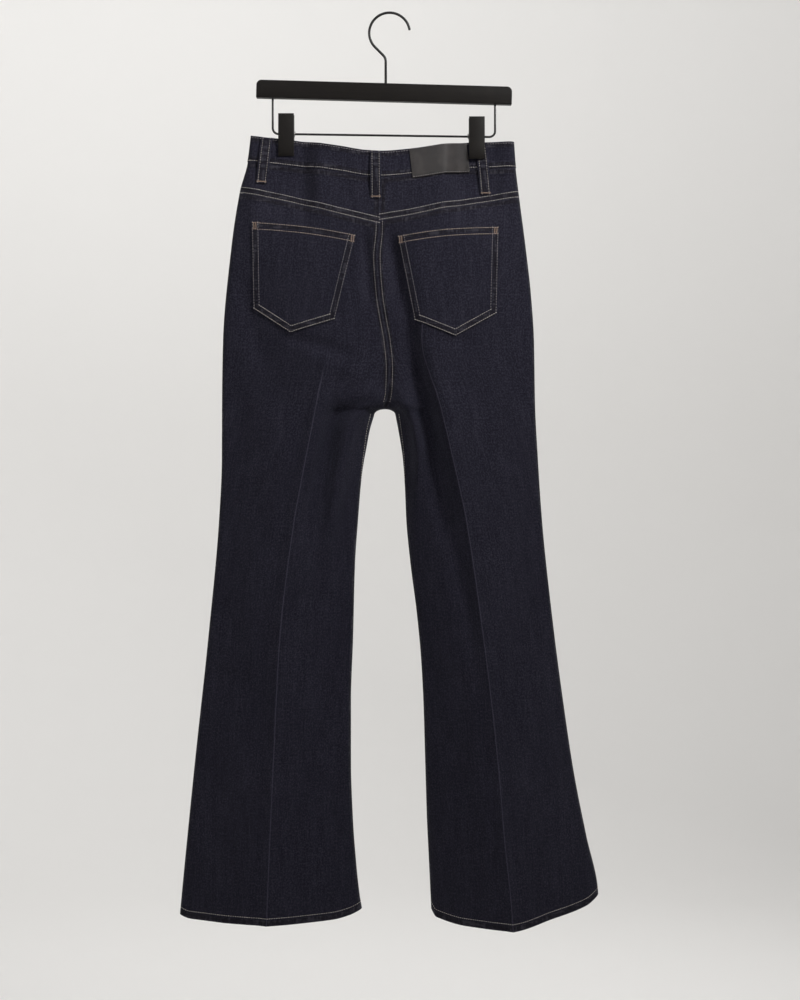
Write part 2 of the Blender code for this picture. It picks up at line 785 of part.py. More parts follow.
def turned(name, profile, finish, place, facing_axis, segments=24):
    """A round piece turned from (radius, height) pairs, closed at both ends."""
    made = bmesh.new()
    rings = []
    for radius, height in profile:
        ring = []
        for step in range(segments):
            angle = 2 * math.pi * step / segments
            ring.append(made.verts.new((radius * math.cos(angle), radius * math.sin(angle), height)))
        rings.append(ring)
    for lower, upper in zip(rings, rings[1:]):
        for step in range(segments):
            after = (step + 1) % segments
            made.faces.new((lower[step], lower[after], upper[after], upper[step]))
    if profile[0] == profile[-1]:
        bmesh.ops.remove_doubles(made, verts=made.verts, dist=1e-6)
    else:
        made.faces.new(rings[0])
        made.faces.new(rings[-1])
    bmesh.ops.scale(made, vec=(MM, MM, MM), verts=made.verts)
    bmesh.ops.recalc_face_normals(made, faces=made.faces)
    mesh = bpy.data.meshes.new(name)
    made.to_mesh(mesh)
    made.free()
    mesh.shade_smooth()
    mesh.set_sharp_from_angle(angle=math.radians(35))
    obj = add(name, mesh, finish)
    obj.location = Vector(place) * MM
    obj.rotation_mode = "QUATERNION"
    obj.rotation_quaternion = Vector(facing_axis).to_track_quat("Z", "Y")
    return obj


def waist_button():
    """A plain shank button on the waistband at the fly."""
    across = float(centre_value("across", 200)) - 12
    down = float(edge_down(WAIST_FRONT, across)) + 0.5 * BAND_WIDTH
    out = Seat(["waistband"], "front").out(across, down, BUTTON_RADIUS)
    rim = 0.35 * BUTTON_HEIGHT
    profile = (
        (0.6 * BUTTON_RADIUS, 0),
        (BUTTON_RADIUS, 0.3 * rim),
        (BUTTON_RADIUS, 2 * rim),
        (0.86 * BUTTON_RADIUS, BUTTON_HEIGHT),
        (0.6 * BUTTON_RADIUS, 0.8 * BUTTON_HEIGHT),
    )
    return turned("waist_button", profile, "metal", (across, out + LAID_GAP, -down), (0, 1, 0))


def slab(name, outline, depth, finish, bevel):
    """A plate with the outline (across, up) and a depth along Y, its edges softened."""
    made = bmesh.new()
    front = [made.verts.new((x * MM, -0.5 * depth * MM, z * MM)) for x, z in outline]
    made.faces.new(front)
    extruded = bmesh.ops.extrude_face_region(made, geom=list(made.faces))
    moved = [item for item in extruded["geom"] if isinstance(item, bmesh.types.BMVert)]
    bmesh.ops.translate(made, verts=moved, vec=(0, depth * MM, 0))
    bmesh.ops.recalc_face_normals(made, faces=made.faces)
    mesh = bpy.data.meshes.new(name)
    made.to_mesh(mesh)
    made.free()
    obj = add(name, mesh, finish)
    softened = obj.modifiers.new("softened_edges", "BEVEL")
    softened.width = bevel * MM
    softened.segments = 2
    softened.limit_method = "ANGLE"
    return obj


def hanger_bar():
    """The flat bar of the hanger, its upper corners rounded."""
    half = 0.5 * BAR_LENGTH
    tall = 0.5 * BAR_HEIGHT
    outline = [(-half, -tall), (half, -tall)]
    for side in (1, -1):
        for step in range(5):
            angle = math.radians(22.5 * (step if side == 1 else 4 - step))
            x = half - BAR_CORNER + BAR_CORNER * math.cos(angle)
            outline.append((side * x, tall - BAR_CORNER + BAR_CORNER * math.sin(angle)))
    bar = slab("hanger_bar", outline, BAR_DEPTH, "hanger", 1.2)
    bar.location = (BAR_ACROSS * MM, 0, -BAR_DOWN * MM)
    bar.rotation_euler = (0, BAR_TILT, 0)
    return bar


def bar_surface(across, upper):
    """How far down the bar's upper or lower face is."""
    middle = BAR_DOWN + (across - BAR_ACROSS) * math.tan(BAR_TILT)
    return middle + (-0.5 if upper else 0.5) * BAR_HEIGHT / math.cos(BAR_TILT)


def wire(name, points, diameter, finish, resolution=3):
    """A round wire along points given as (across, down)."""
    curve = bpy.data.curves.new(name, "CURVE")
    curve.dimensions = "3D"
    curve.bevel_depth = 0.5 * diameter * MM
    curve.bevel_resolution = resolution
    curve.use_fill_caps = True
    spline = curve.splines.new("POLY")
    spline.points.add(len(points) - 1)
    for place, (across, down) in zip(spline.points, points):
        place.co = (across * MM, 0, -down * MM, 1)
    curve.materials.append(material(finish))
    obj = bpy.data.objects.new(name, curve)
    bpy.context.scene.collection.objects.link(obj)
    return obj


def hanger_hook():
    """A wire hook: three fifths of a circle, then a bend back to the stem over the bar."""
    centre_down = HOOK_RADIUS - 0.5 * HOOK_WIRE
    points = []
    for step in range(25):
        angle = HOOK_TIP_ANGLE + HOOK_TURN * step / 24
        points.append((HOOK_RADIUS * math.cos(angle), centre_down - HOOK_RADIUS * math.sin(angle)))
    last = HOOK_TIP_ANGLE + HOOK_TURN
    heading = (-math.sin(last), -math.cos(last))
    start = points[-1]
    stem_top = (STEM_ACROSS, centre_down + 1.45 * HOOK_RADIUS)
    pull = 0.5 * HOOK_RADIUS
    leaving = (start[0] + heading[0] * pull, start[1] + heading[1] * pull)
    arriving = (stem_top[0], stem_top[1] - 0.55 * HOOK_RADIUS)
    for step in range(1, 13):
        t = step / 12
        shares = ((1 - t) ** 3, 3 * t * (1 - t) ** 2, 3 * t * t * (1 - t), t**3)
        corners = (start, leaving, arriving, stem_top)
        points.append(tuple(sum(s * c[k] for s, c in zip(shares, corners)) for k in (0, 1)))
    foot = bar_surface(STEM_ACROSS, True) - 0.5 * SEAM_GAP - 0.2
    points.append((STEM_ACROSS, foot))
    return wire("hanger_hook", points, HOOK_WIRE, "hanger")


def hanger_rail():
    """The wire rail under the bar, which carries the clips."""
    (left, left_down), (right, right_down) = RAIL_LEFT, RAIL_RIGHT
    points = [(left, bar_surface(left, False) + SEAM_GAP)]
    corners = ((left, left_down, 1), (right, right_down, -1))
    for x, z, side in corners:
        arc = []
        for step in range(7):
            angle = math.radians(15 * step)
            arc_across = x + side * RAIL_CORNER * (1 - math.cos(angle))
            arc.append((arc_across, z - RAIL_CORNER * (1 - math.sin(angle))))
        points += arc[::side]
    points.append((right, bar_surface(right, False) + SEAM_GAP))
    return wire("hanger_rail", points, RAIL_WIRE, "hanger")


def rail_down(across):
    (left, left_down), (right, right_down) = RAIL_LEFT, RAIL_RIGHT
    return left_down + (right_down - left_down) * (across - left) / (right - left)


def clip_jaw(which, face):
    """One jaw of a clip: a tapered plate from the thumb end to the gripping end."""
    across, top = CLIPS[which]
    side = outward(face)
    grip = JAW_FACE
    if (which, face) == ("right", "back"):
        grip = JAW_FACE + LOOP_WALL + LAID_GAP + JAW_STEP
    profile = (
        (JAW_FACE + 1.0, 0),
        (JAW_FACE, 0.42 * CLIP_HEIGHT),
        (JAW_FACE, 0.52 * CLIP_HEIGHT),
        (grip, 0.62 * CLIP_HEIGHT),
        (grip, CLIP_HEIGHT),
        (grip + 0.6 * CLIP_WALL, CLIP_HEIGHT),
        (grip + CLIP_WALL, 0.9 * CLIP_HEIGHT),
        (JAW_FACE + CLIP_WALL + 0.8, 0.45 * CLIP_HEIGHT),
        (JAW_FACE + 1.0 + 0.8 * CLIP_WALL, 0),
    )
    made = bmesh.new()
    half = 0.5 * CLIP_WIDTH
    ring = [made.verts.new(((across - half) * MM, side * y * MM, -(top + z) * MM)) for y, z in profile]
    made.faces.new(ring)
    extruded = bmesh.ops.extrude_face_region(made, geom=list(made.faces))
    moved = [item for item in extruded["geom"] if isinstance(item, bmesh.types.BMVert)]
    bmesh.ops.translate(made, verts=moved, vec=(CLIP_WIDTH * MM, 0, 0))
    bmesh.ops.recalc_face_normals(made, faces=made.faces)
    mesh = bpy.data.meshes.new("jaw")
    made.to_mesh(mesh)
    made.free()
    obj = add(f"clip_{which}_{face}", mesh, "hanger")
    softened = obj.modifiers.new("softened_edges", "BEVEL")
    softened.width = 0.6 * MM
    softened.segments = 2
    softened.limit_method = "ANGLE"
    softened.angle_limit = math.radians(50)
    return obj


def clip_barrel(which):
    """The sprung barrel between the jaws, which slides on the rail."""
    across = CLIPS[which][0]
    bore = 0.5 * RAIL_WIRE + SEAM_GAP
    half = 0.5 * BARREL_LENGTH
    profile = ((bore, -half), (BARREL_RADIUS, -half), (BARREL_RADIUS, half), (bore, half), (bore, -half))
    slope = (RAIL_RIGHT[1] - RAIL_LEFT[1]) / (RAIL_RIGHT[0] - RAIL_LEFT[0])
    place = (across, 0, -rail_down(across))
    return turned(f"clip_barrel_{which}", profile, "metal", place, (1, 0, -slope), 20)


for leftover in list(bpy.data.objects):
    bpy.data.objects.remove(leftover, do_unlink=True)

for leg_name in LEGS:
    leg_panel(leg_name, "back")
    leg_panel(leg_name, "front")
    yoke(leg_name)
waistband()
bpy.context.view_layer.update()
for leg_name in LEGS:
    facing(leg_name)
    back_pocket(leg_name)
for loop_name, loop_row in LOOPS.items():
    belt_loop(loop_name, loop_row)
leather_patch()
fly()
waist_button()
hanger_bar()
hanger_hook()
hanger_rail()
for clip_name in CLIPS:
    clip_barrel(clip_name)
    for clip_face in ("back", "front"):
        clip_jaw(clip_name, clip_face)
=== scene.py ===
import math

import bmesh
import bpy
import numpy as np
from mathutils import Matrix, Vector
from mathutils.bvhtree import BVHTree


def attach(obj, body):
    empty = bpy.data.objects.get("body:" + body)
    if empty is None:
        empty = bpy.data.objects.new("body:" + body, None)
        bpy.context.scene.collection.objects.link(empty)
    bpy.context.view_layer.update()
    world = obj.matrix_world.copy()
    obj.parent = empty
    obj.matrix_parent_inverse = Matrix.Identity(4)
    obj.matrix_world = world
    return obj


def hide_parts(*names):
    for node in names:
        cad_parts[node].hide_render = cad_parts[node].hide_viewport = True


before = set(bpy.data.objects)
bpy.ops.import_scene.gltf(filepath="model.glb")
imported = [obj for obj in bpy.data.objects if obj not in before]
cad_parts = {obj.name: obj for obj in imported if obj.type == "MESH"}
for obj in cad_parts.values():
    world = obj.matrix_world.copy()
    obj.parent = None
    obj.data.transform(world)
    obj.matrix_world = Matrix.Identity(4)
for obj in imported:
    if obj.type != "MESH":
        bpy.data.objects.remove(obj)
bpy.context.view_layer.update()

# Leg panels: two fronts and two backs of raw indigo stretch denim, cut in one length from the
# waist or yoke to a turned-up hem. They are felled together down the sides and inseams, pressed
# with a crease down the middle of each leg, and hang by the waistband from two clips.

MM = 0.001
DENIM_WALL = 1.5
HEM_WALL = 2.9
HEM_WIDTH = 11.0
HEM_SHOULDER = 0.5
HEM_RISES = (HEM_WIDTH, 5.0, 0.0)
SEAM_GAP = 0.3
CLOSED_SEAM = 0.05
FOLD_RADIUS = 7.0
FORK_ACROSS = -6.0
FORK_DOWN = 543.8
FORK_TURN = 26.0
FORK_OPENING = 45.0
BRIDGE_DROP = 8.0
BAND_WIDTH = 36.0
MOUTH_WIDTH = 95.0
MOUTH_DROP = 75.0
TOP_FADE = 150.0
HEM_FADE = 180.0
FOLD_MARGIN = 12.0
SETTLING = 6
CLOTH_STEP = 5.0
CUT_EDGE = 0.4

# A leg from the waist to the hem: how far down, where its side seam and pressed crease are
# across, how far the crease stands out behind and in front, and how sharply it is pressed.
LEG_COLUMNS = ("down", "outseam", "crease", "back", "front", "sharp")
LEGS = {
    "left": (
        (170, -190.6, -98, 15, 13, 0.0),
        (206, -195.4, -98, 18, 15, 0.0),
        (245, -206.0, -98, 23, 19, 0.0),
        (325, -218.1, -96, 28, 26, 0.0),
        (449, -229.1, -84, 33, 30, 0.25),
        (531, -230.5, -98, 36, 31, 0.8),
        (614, -230.8, -114, 37, 32, 0.9),
        (696, -234.6, -129, 36, 31, 1.0),
        (861, -249.7, -149, 36, 32, 1.0),
        (1027, -267.6, -157, 43, 39, 1.0),
        (1192, -284.1, -164, 50, 46, 1.0),
        (1250, -289.5, -166, 52, 48, 1.0),
    ),
    "right": (
        (170, 170.5, 75, 16, 13, 0.0),
        (206, 173.0, 75, 19, 16, 0.0),
        (245, 177.5, 74, 24, 20, 0.0),
        (325, 187.8, 66, 30, 27, 0.0),
        (387, 194.7, 52, 34, 30, 0.1),
        (449, 198.8, 44, 39, 33, 0.6),
        (537, 200.3, 68, 46, 38, 1.0),
        (609, 204.0, 85, 48, 40, 1.0),
        (696, 209.8, 104, 47, 40, 1.0),
        (839, 225.0, 125, 50, 42, 1.0),
        (944, 238.7, 138, 56, 47, 1.0),
        (1042, 253.4, 148, 61, 52, 1.0),
        (1129, 270.5, 155, 67, 58, 1.0),
        (1206, 286.9, 163, 71, 65, 1.0),
        (1250, 288.5, 166, 73, 67, 1.0),
    ),
}
CENTRE_COLUMNS = ("down", "across", "back", "front")
CENTRE_SEAM = (
    (170, -14, 18, 18),
    (245, -13, 22, 21),
    (302, -14, 25, 24),
    (337, -17, 26, 25),
    (385, -14, 26, 26),
    (419, -9, 25, 25),
    (453, -3, 23, 24),
    (489, 0, 20, 21),
    (520, -1, 17, 18),
    (544, -6, 15, 16),
)
INSEAM_COLUMNS = ("down", "across")
INSEAMS = {
    "left": (
        (552, -21), (572, -27), (593, -31), (634, -38), (696, -43.3), (758, -47.5), (861, -50.2),
        (944, -53), (1027, -53), (1109, -50.2), (1171, -45.5), (1212, -41), (1245, -35),
    ),
    "right": (
        (552, 8), (572, 12), (614, 18.5), (655, 21.3), (696, 23), (758, 29), (820, 37),
        (882, 43), (944, 46.5), (1027, 49), (1109, 51.5), (1171, 54.5), (1245, 58),
    ),
}
EDGE_COLUMNS = ("across", "down")
WAIST_BACK = (
    (-192, 168.6), (-142, 173.6), (-68, 184.2), (-30, 190.8), (-12, 191.5), (25, 188.8), (106, 178),
    (172, 176.5),
)
WAIST_FRONT = (
    (-192, 167.2), (-142, 172.5), (-68, 187), (-12, 194), (40, 190), (106, 179), (172, 176.5),
)
YOKE_SEAMS = {
    "left": ((-207, 247), (-159, 255.5), (-70, 278), (-13, 291.5)),
    "right": ((-13, 287), (40, 278), (83, 269), (179, 253)),
}
HEMS = {
    "left": ((-290, 1237), (-272, 1242), (-165, 1244), (-76, 1241), (-55, 1237), (-36, 1229)),
    "right": ((57, 1230), (64, 1240), (104, 1246.5), (165, 1247), (218, 1236), (269, 1223), (288, 1210)),
}

# Broad folds, as in the solid, and the finer creases over them: a curve through a start, a bend
# and an end, with a height (a trough is below zero) and a half-width.
FOLD_COLUMNS = ("face", "x0", "down0", "x1", "down1", "x2", "down2", "height", "width")
BROAD_POINTS = 25
BROAD_ENDS = 0.1
BROAD_STRETCH = 0.35
CREASE_POINTS = 17
CREASE_START = 0.3
CREASE_END = 0.35
BROAD_FOLDS = (
    ("back", -20, 524, -58, 560, -84, 718, 7, 10),
    ("back", -62, 530, -88, 585, -92, 665, -8, 12),
    ("back", 8, 525, 56, 560, 30, 700, 7, 10),
    ("back", 16, 335, 52, 560, 104, 800, -9, 15),
    ("back", -48, 290, -50, 340, -60, 395, 3, 9),
    ("back", -196, 415, -150, 480, -112, 560, -4, 24),
    ("front", -20, 524, -56, 570, -88, 700, 6, 11),
    ("front", 8, 525, 50, 570, 62, 700, 6, 11),
    ("front", -150, 330, -110, 430, -40, 500, -3, 22),
    ("front", 140, 330, 90, 430, 28, 500, -3, 22),
)
FINE_CREASES = (
    ("back", -35, 288, -30, 345, -26, 430, -6.6, 7),
    ("back", -44, 284, -50, 335, -62, 400, -4.4, 5),
    ("back", -58, 300, -60, 352, -72, 410, 1.6, 7),
    ("back", -3, 288, 8, 350, 26, 450, -9.5, 11),
    ("back", 20, 410, 30, 500, 48, 590, -8.0, 11),
    ("back", -40, 544, -72, 606, -88, 780, 7.0, 10),
    ("back", -10, 300, -6, 380, 2, 470, 1.4, 8),
    ("back", -150, 446, -98, 452, -40, 478, -4.4, 9),
    ("back", -120, 474, -80, 480, -30, 508, 2.2, 9),
    ("back", 40, 440, 84, 462, 132, 446, -2.0, 9),
    ("back", -210, 330, -190, 440, -158, 520, -2.6, 13),
    ("back", -222, 470, -206, 560, -190, 640, -1.6, 13),
    ("back", -18, 536, -52, 530, -102, 572, -4.6, 6.5),
    ("back", -24, 549, -52, 550, -90, 600, 2.6, 6),
    ("back", -30, 566, -58, 590, -76, 660, -2.4, 8),
    ("back", 8, 532, 46, 538, 38, 680, 7.5, 7),
    ("back", 12, 560, 24, 610, 24, 690, -2.6, 8),
    ("back", 60, 640, 84, 720, 104, 820, -2.0, 10),
    ("back", -106, 500, -132, 610, -158, 780, -3.2, 12),
    ("back", -62, 516, -98, 600, -118, 760, -7.6, 9),
    ("back", -166, 800, -176, 930, -184, 1080, -2.0, 13),
    ("back", 24, 400, 54, 560, 86, 760, -9.5, 11),
    ("back", 84, 690, 108, 830, 128, 980, -3.2, 12),
    ("back", 132, 960, 140, 1060, 148, 1160, -1.6, 11),
    ("back", 68, 480, 96, 600, 120, 740, 2.6, 14),
    ("back", -64, 236, -54, 256, -44, 282, -1.4, 5),
    ("back", 60, 236, 30, 262, 12, 290, -1.2, 7),
    ("back", -132, 802, -96, 806, -58, 814, -2.0, 13),
    ("back", -126, 838, -90, 848, -58, 850, 1.2, 12),
    ("back", -254, 906, -212, 918, -164, 930, -1.9, 14),
    ("back", 44, 903, 78, 916, 122, 928, -2.1, 13),
    ("back", 50, 868, 84, 876, 116, 888, 1.2, 12),
    ("back", 150, 862, 190, 874, 226, 862, -1.4, 13),
    ("back", -212, 610, -206, 760, -214, 900, -1.6, 18),
    ("back", -186, 640, -190, 800, -200, 960, 1.2, 16),
    ("back", -100, 860, -104, 980, -112, 1120, -1.6, 16),
    ("back", -70, 1000, -74, 1080, -78, 1170, 1.0, 14),
    ("back", -232, 1010, -238, 1090, -246, 1170, -1.2, 16),
    ("back", 176, 560, 190, 730, 210, 900, -1.8, 18),
    ("back", 148, 470, 150, 600, 160, 740, 1.4, 20),
    ("back", 92, 900, 96, 1010, 98, 1130, -1.7, 15),
    ("back", 210, 930, 226, 1030, 240, 1140, 1.4, 16),
    ("back", 192, 980, 204, 1060, 214, 1150, -1.3, 13),
    ("back", 172, 290, 182, 380, 186, 480, -2.0, 10),
    ("front", -18, 536, -60, 524, -112, 556, -3.2, 8),
    ("front", -20, 556, -60, 556, -96, 610, 2.2, 8),
    ("front", 8, 536, 52, 522, 100, 548, -3.0, 8),
    ("front", 12, 560, 46, 560, 74, 612, 2.0, 8),
    ("front", -34, 470, -86, 452, -150, 470, -2.0, 10),
    ("front", 18, 474, 64, 452, 126, 462, -2.1, 10),
    ("front", -52, 250, -58, 330, -66, 410, -1.4, 12),
    ("front", 30, 250, 38, 330, 48, 410, -1.5, 12),
    ("front", -132, 800, -96, 812, -60, 808, -2.0, 13),
    ("front", -250, 860, -206, 872, -166, 862, -1.9, 14),
    ("front", 40, 846, 78, 858, 116, 852, -2.0, 13),
    ("front", 150, 880, 190, 892, 230, 884, -1.8, 14),
    ("front", -210, 600, -208, 780, -218, 960, -1.6, 18),
    ("front", 174, 560, 188, 740, 214, 930, -1.6, 18),
    ("front", -96, 900, -100, 1020, -104, 1140, 1.2, 16),
    ("front", 88, 880, 94, 1000, 98, 1120, 1.2, 16),
)

# The pressed crease: a narrow ridge with a shallow trough beside it.
PRESS_RISE = 1.1
PRESS_WIDTH = 4.5
PRESS_TROUGH = -1.0
PRESS_TROUGH_AT = -13.0
PRESS_TROUGH_WIDTH = 9.0

# The slow unevenness of stiff cloth: wavelengths across and down, a height and a start.
RIPPLES = ((118, 410, 0.5, 0.6), (83, -290, 0.4, 2.1), (61, 173, 0.25, 4.0), (-47, 121, 0.18, 1.2))

# Clips hold the waist flat: how far across, the flat and sloping reach, and where it lets go.
CLIPS = {"left": (-142.0, 138.0), "right": (120.0, 142.3)}
CLIP_FLAT = 20.0
CLIP_REACH = 30.0
CLIP_HOLD = 215.0
CLIP_FADE = 105.0
HELD_DEPTH = 3.4

# The sections' heights, at the side seam and at the inner line.
BACK_ROWS = (
    (258, 284), (300, 320), (345, 362), (392, 405), (436, 445), (474, 482), (506, 508),
    (526, FORK_DOWN - FORK_TURN), (543, FORK_DOWN - 0.5 * FORK_TURN),
    (556, FORK_DOWN - 0.134 * FORK_TURN), (568, FORK_DOWN), (579, FORK_DOWN + 0.134 * BRIDGE_DROP),
    (591, FORK_DOWN + 0.5 * BRIDGE_DROP), (604, FORK_DOWN + BRIDGE_DROP), (620, 566), (642, 590),
    (672, 626), (712, 680), (765, 748), (830, 826), (905, 905), (1155, 1155),
)
FRONT_ROWS = (
    (212, 229), (231, 250), (249, 270), (266, 288), (277, 303), (283.5, 316), (286, 328),
    (287, 340), (315, 362), (392, 405), (440, 452), (490, 495), (526, FORK_DOWN - FORK_TURN),
    (543, FORK_DOWN - 0.5 * FORK_TURN), (556, FORK_DOWN - 0.134 * FORK_TURN), (568, FORK_DOWN),
    (579, FORK_DOWN + 0.134 * BRIDGE_DROP), (591, FORK_DOWN + 0.5 * BRIDGE_DROP),
    (604, FORK_DOWN + BRIDGE_DROP), (625, 575), (665, 620), (720, 690), (800, 785), (905, 905),
    (1155, 1155),
)
TURN = 1 - np.cos(np.radians([0, 18, 36, 54, 72, 90]))
OUTER_STEPS = 22
INNER_STEPS = 22
CREASE_COLUMN = len(TURN) - 1 + OUTER_STEPS
PRESSED_FROM = {"left": (478, 512), "right": (300, 335)}


def smooth(places, values, at):
    """A smooth curve through the points that never swings past them."""
    places = np.asarray(places, float)
    values = np.asarray(values, float)
    at = np.clip(np.asarray(at, float), places[0], places[-1])
    step = np.diff(places)
    slope = np.diff(values) / step
    product = slope[:-1] * slope[1:]
    total = np.where(product > 0, slope[:-1] + slope[1:], 1)
    middle = np.where(product > 0, 2 * product / total, 0)
    tangent = np.concatenate([slope[:1], middle, slope[-1:]])
    i = np.clip(np.searchsorted(places, at, side="right") - 1, 0, len(step) - 1)
    t = (at - places[i]) / step[i]
    rise = values[i] * (1 + 2 * t) * (1 - t) ** 2 + values[i + 1] * t**2 * (3 - 2 * t)
    turn = tangent[i] * t * (1 - t) ** 2 - tangent[i + 1] * t**2 * (1 - t)
    return rise + step[i] * turn


def read(table, columns, name, by, at):
    """One named column of a table, at places along another."""
    rows = list(zip(*table))
    return smooth(rows[columns.index(by)], rows[columns.index(name)], at)


def ease(amount):
    amount = np.clip(amount, 0, 1)
    return amount * amount * (3 - 2 * amount)


def leg_value(leg, name, down):
    return read(LEGS[leg], LEG_COLUMNS, name, "down", down)


def centre_value(name, down):
    return read(CENTRE_SEAM, CENTRE_COLUMNS, name, "down", down)


def edge_down(table, across):
    return read(table, EDGE_COLUMNS, "down", "across", across)


def inner_across(leg, down):
    """The centre seam above the fork, and below it the inseam, which leaves the fork in an arch."""
    centre = centre_value("across", down)
    inseam = read(INSEAMS[leg], INSEAM_COLUMNS, "across", "down", down)
    along = np.clip((down - FORK_DOWN) / BRIDGE_DROP, 0, 1)
    arch = np.sqrt(1 - (1 - along) ** 2)
    return np.where(down <= FORK_DOWN, centre, FORK_ACROSS + (inseam - FORK_ACROSS) * arch)


def rounded_edge(distance):
    """How far cloth stands out near a seam at the garment's outline, where it turns round it."""
    along = np.clip(distance / FOLD_RADIUS, 0, 1)
    return FOLD_RADIUS * np.sqrt(1 - (1 - along) ** 2)


def fold_curve(fold, count):
    """Points along a fold, across and down."""
    along = np.linspace(0, 1, count)
    shares = ((1 - along) ** 2, 2 * along * (1 - along), along**2)
    across = sum(share * fold[name] for share, name in zip(shares, ("x0", "x1", "x2")))
    down = sum(share * fold[name] for share, name in zip(shares, ("down0", "down1", "down2")))
    return along, across, down


def folds_on(face, table):
    """The rows of a table of folds that are on one face, with their column names."""
    folds = [dict(zip(FOLD_COLUMNS, row)) for row in table]
    return [fold for fold in folds if fold["face"] == face]


def broad_folds(face, across, down):
    total = np.zeros(np.shape(across))
    for fold in folds_on(face, BROAD_FOLDS):
        along, fold_across, fold_down = fold_curve(fold, BROAD_POINTS)
        strength = np.sin(math.pi * (along * (1 - 2 * BROAD_ENDS) + BROAD_ENDS))
        best = np.zeros(np.shape(across))
        for x, z, strong in zip(fold_across, fold_down, strength):
            far = (across - x) ** 2 + (BROAD_STRETCH * (down - z)) ** 2
            best = np.maximum(best, strong * np.exp(-far / fold["width"] ** 2))
        total = total + fold["height"] * best
    return total


def fine_creases(face, across, down):
    """Creases with their true distance, which fade out at both ends."""
    total = np.zeros(np.shape(across))
    for fold in folds_on(face, FINE_CREASES):
        along, fold_across, fold_down = fold_curve(fold, CREASE_POINTS)
        best = np.zeros(np.shape(across))
        for i in range(len(along) - 1):
            run = np.array([fold_across[i + 1] - fold_across[i], fold_down[i + 1] - fold_down[i]])
            there = (across - fold_across[i]) * run[0] + (down - fold_down[i]) * run[1]
            there = np.clip(there / (run @ run), 0, 1)
            far = (across - fold_across[i] - there * run[0]) ** 2
            far = far + (down - fold_down[i] - there * run[1]) ** 2
            place = along[i] + there * (along[i + 1] - along[i])
            strong = ease(place / CREASE_START) * ease((1 - place) / CREASE_END)
            best = np.maximum(best, strong * np.exp(-far / fold["width"] ** 2))
        total = total + fold["height"] * best
    return total


def ripples(across, down):
    total = np.zeros(np.shape(across))
    for wave_across, wave_down, height, start in RIPPLES:
        total = total + height * np.sin(2 * math.pi * (across / wave_across + down / wave_down) + start)
    return total


def rise_to_crease(share, sharp):
    """How a face rises from its edge to the crease: bowed where soft, nearly straight if pressed."""
    bowed = np.sin(0.5 * math.pi * share)
    straight = 0.8 * share + 0.2 * bowed
    return bowed + (straight - bowed) * sharp


def stand_out(leg, face, across, down):
    """How far a face of the garment stands out from the plane through its side seams."""
    outseam = leg_value(leg, "outseam", down)
    crease = leg_value(leg, "crease", down)
    inner = inner_across(leg, down)
    depth = leg_value(leg, face, down)
    sharp = leg_value(leg, "sharp", down)
    from_outseam = np.clip((across - outseam) / (crease - outseam), 0, 1)
    from_inner = np.clip((across - inner) / (crease - inner), 0, 1)
    to_outseam = np.abs(across - outseam)
    to_inner = np.abs(across - inner)

    outer_half = rounded_edge(to_outseam)
    outer_half = outer_half + (depth - FOLD_RADIUS) * rise_to_crease(from_outseam, sharp)

    turned = np.clip((down - (FORK_DOWN - FORK_TURN)) / FORK_TURN, 0, 1)
    centre = centre_value(face, down) * np.sqrt(1 - turned**2)
    level = 0.5 - 0.5 * np.cos(math.pi * from_inner)
    lifted = from_inner**2 * (2 - from_inner)
    joined = centre + (depth - centre) * (level + (lifted - level) * sharp)
    parted = centre + rounded_edge(to_inner)
    parted = parted + (depth - centre - FOLD_RADIUS) * rise_to_crease(from_inner, sharp)
    parting = ease((down - (FORK_DOWN - FORK_OPENING)) / FORK_OPENING)
    inner_half = joined + (parted - joined) * parting

    out = np.where(from_outseam < 1, outer_half, inner_half)
    near_edge = np.where(down > FORK_DOWN - FORK_TURN, np.minimum(to_outseam, to_inner), to_outseam)
    uneven = broad_folds(face, across, down) + fine_creases(face, across, down) + ripples(across, down)
    beside = across - crease
    press = PRESS_RISE * np.exp(-((beside / PRESS_WIDTH) ** 2))
    trough = np.exp(-(((beside - PRESS_TROUGH_AT) / PRESS_TROUGH_WIDTH) ** 2))
    uneven = uneven + sharp * (press + PRESS_TROUGH * trough)
    out = out + uneven * ease(near_edge / FOLD_MARGIN)
    for clip_across, _ in CLIPS.values():
        held = ease((CLIP_FLAT + CLIP_REACH - np.abs(across - clip_across)) / CLIP_REACH)
        held = held * (1 - ease((down - CLIP_HOLD) / CLIP_FADE))
        out = out + (np.minimum(HELD_DEPTH, out) - out) * held
    return np.maximum(out, 0)


def towards_middle(leg):
    return 1 if leg == "left" else -1


def outward(face):
    return -1 if face == "back" else 1


def columns_across(leg, down, mouth=0.0):
    """Where each column lies across, from the side seam or pocket mouth to the inner line."""
    side = towards_middle(leg)
    start = leg_value(leg, "outseam", down) + side * mouth
    crease = leg_value(leg, "crease", down)
    end = inner_across(leg, down) - side * 0.5 * CLOSED_SEAM * (down <= FORK_DOWN)
    first = start + side * FOLD_RADIUS
    last = end - side * FOLD_RADIUS
    corner = len(TURN)
    across = start.copy()
    across[:, :corner] += side * FOLD_RADIUS * TURN
    share = np.arange(1, OUTER_STEPS + 1) / OUTER_STEPS
    here = slice(corner, corner + OUTER_STEPS)
    across[:, here] = first[:, here] + (crease - first)[:, here] * share
    share = np.arange(1, INNER_STEPS + 1) / INNER_STEPS
    here = slice(corner + OUTER_STEPS, corner + OUTER_STEPS + INNER_STEPS)
    across[:, here] = crease[:, here] + (last - crease)[:, here] * share
    here = slice(corner + OUTER_STEPS + INNER_STEPS, None)
    across[:, here] = end[:, here] - side * FOLD_RADIUS * TURN[-2::-1]
    return across


COLUMN_COUNT = 2 * len(TURN) - 1 + OUTER_STEPS + INNER_STEPS


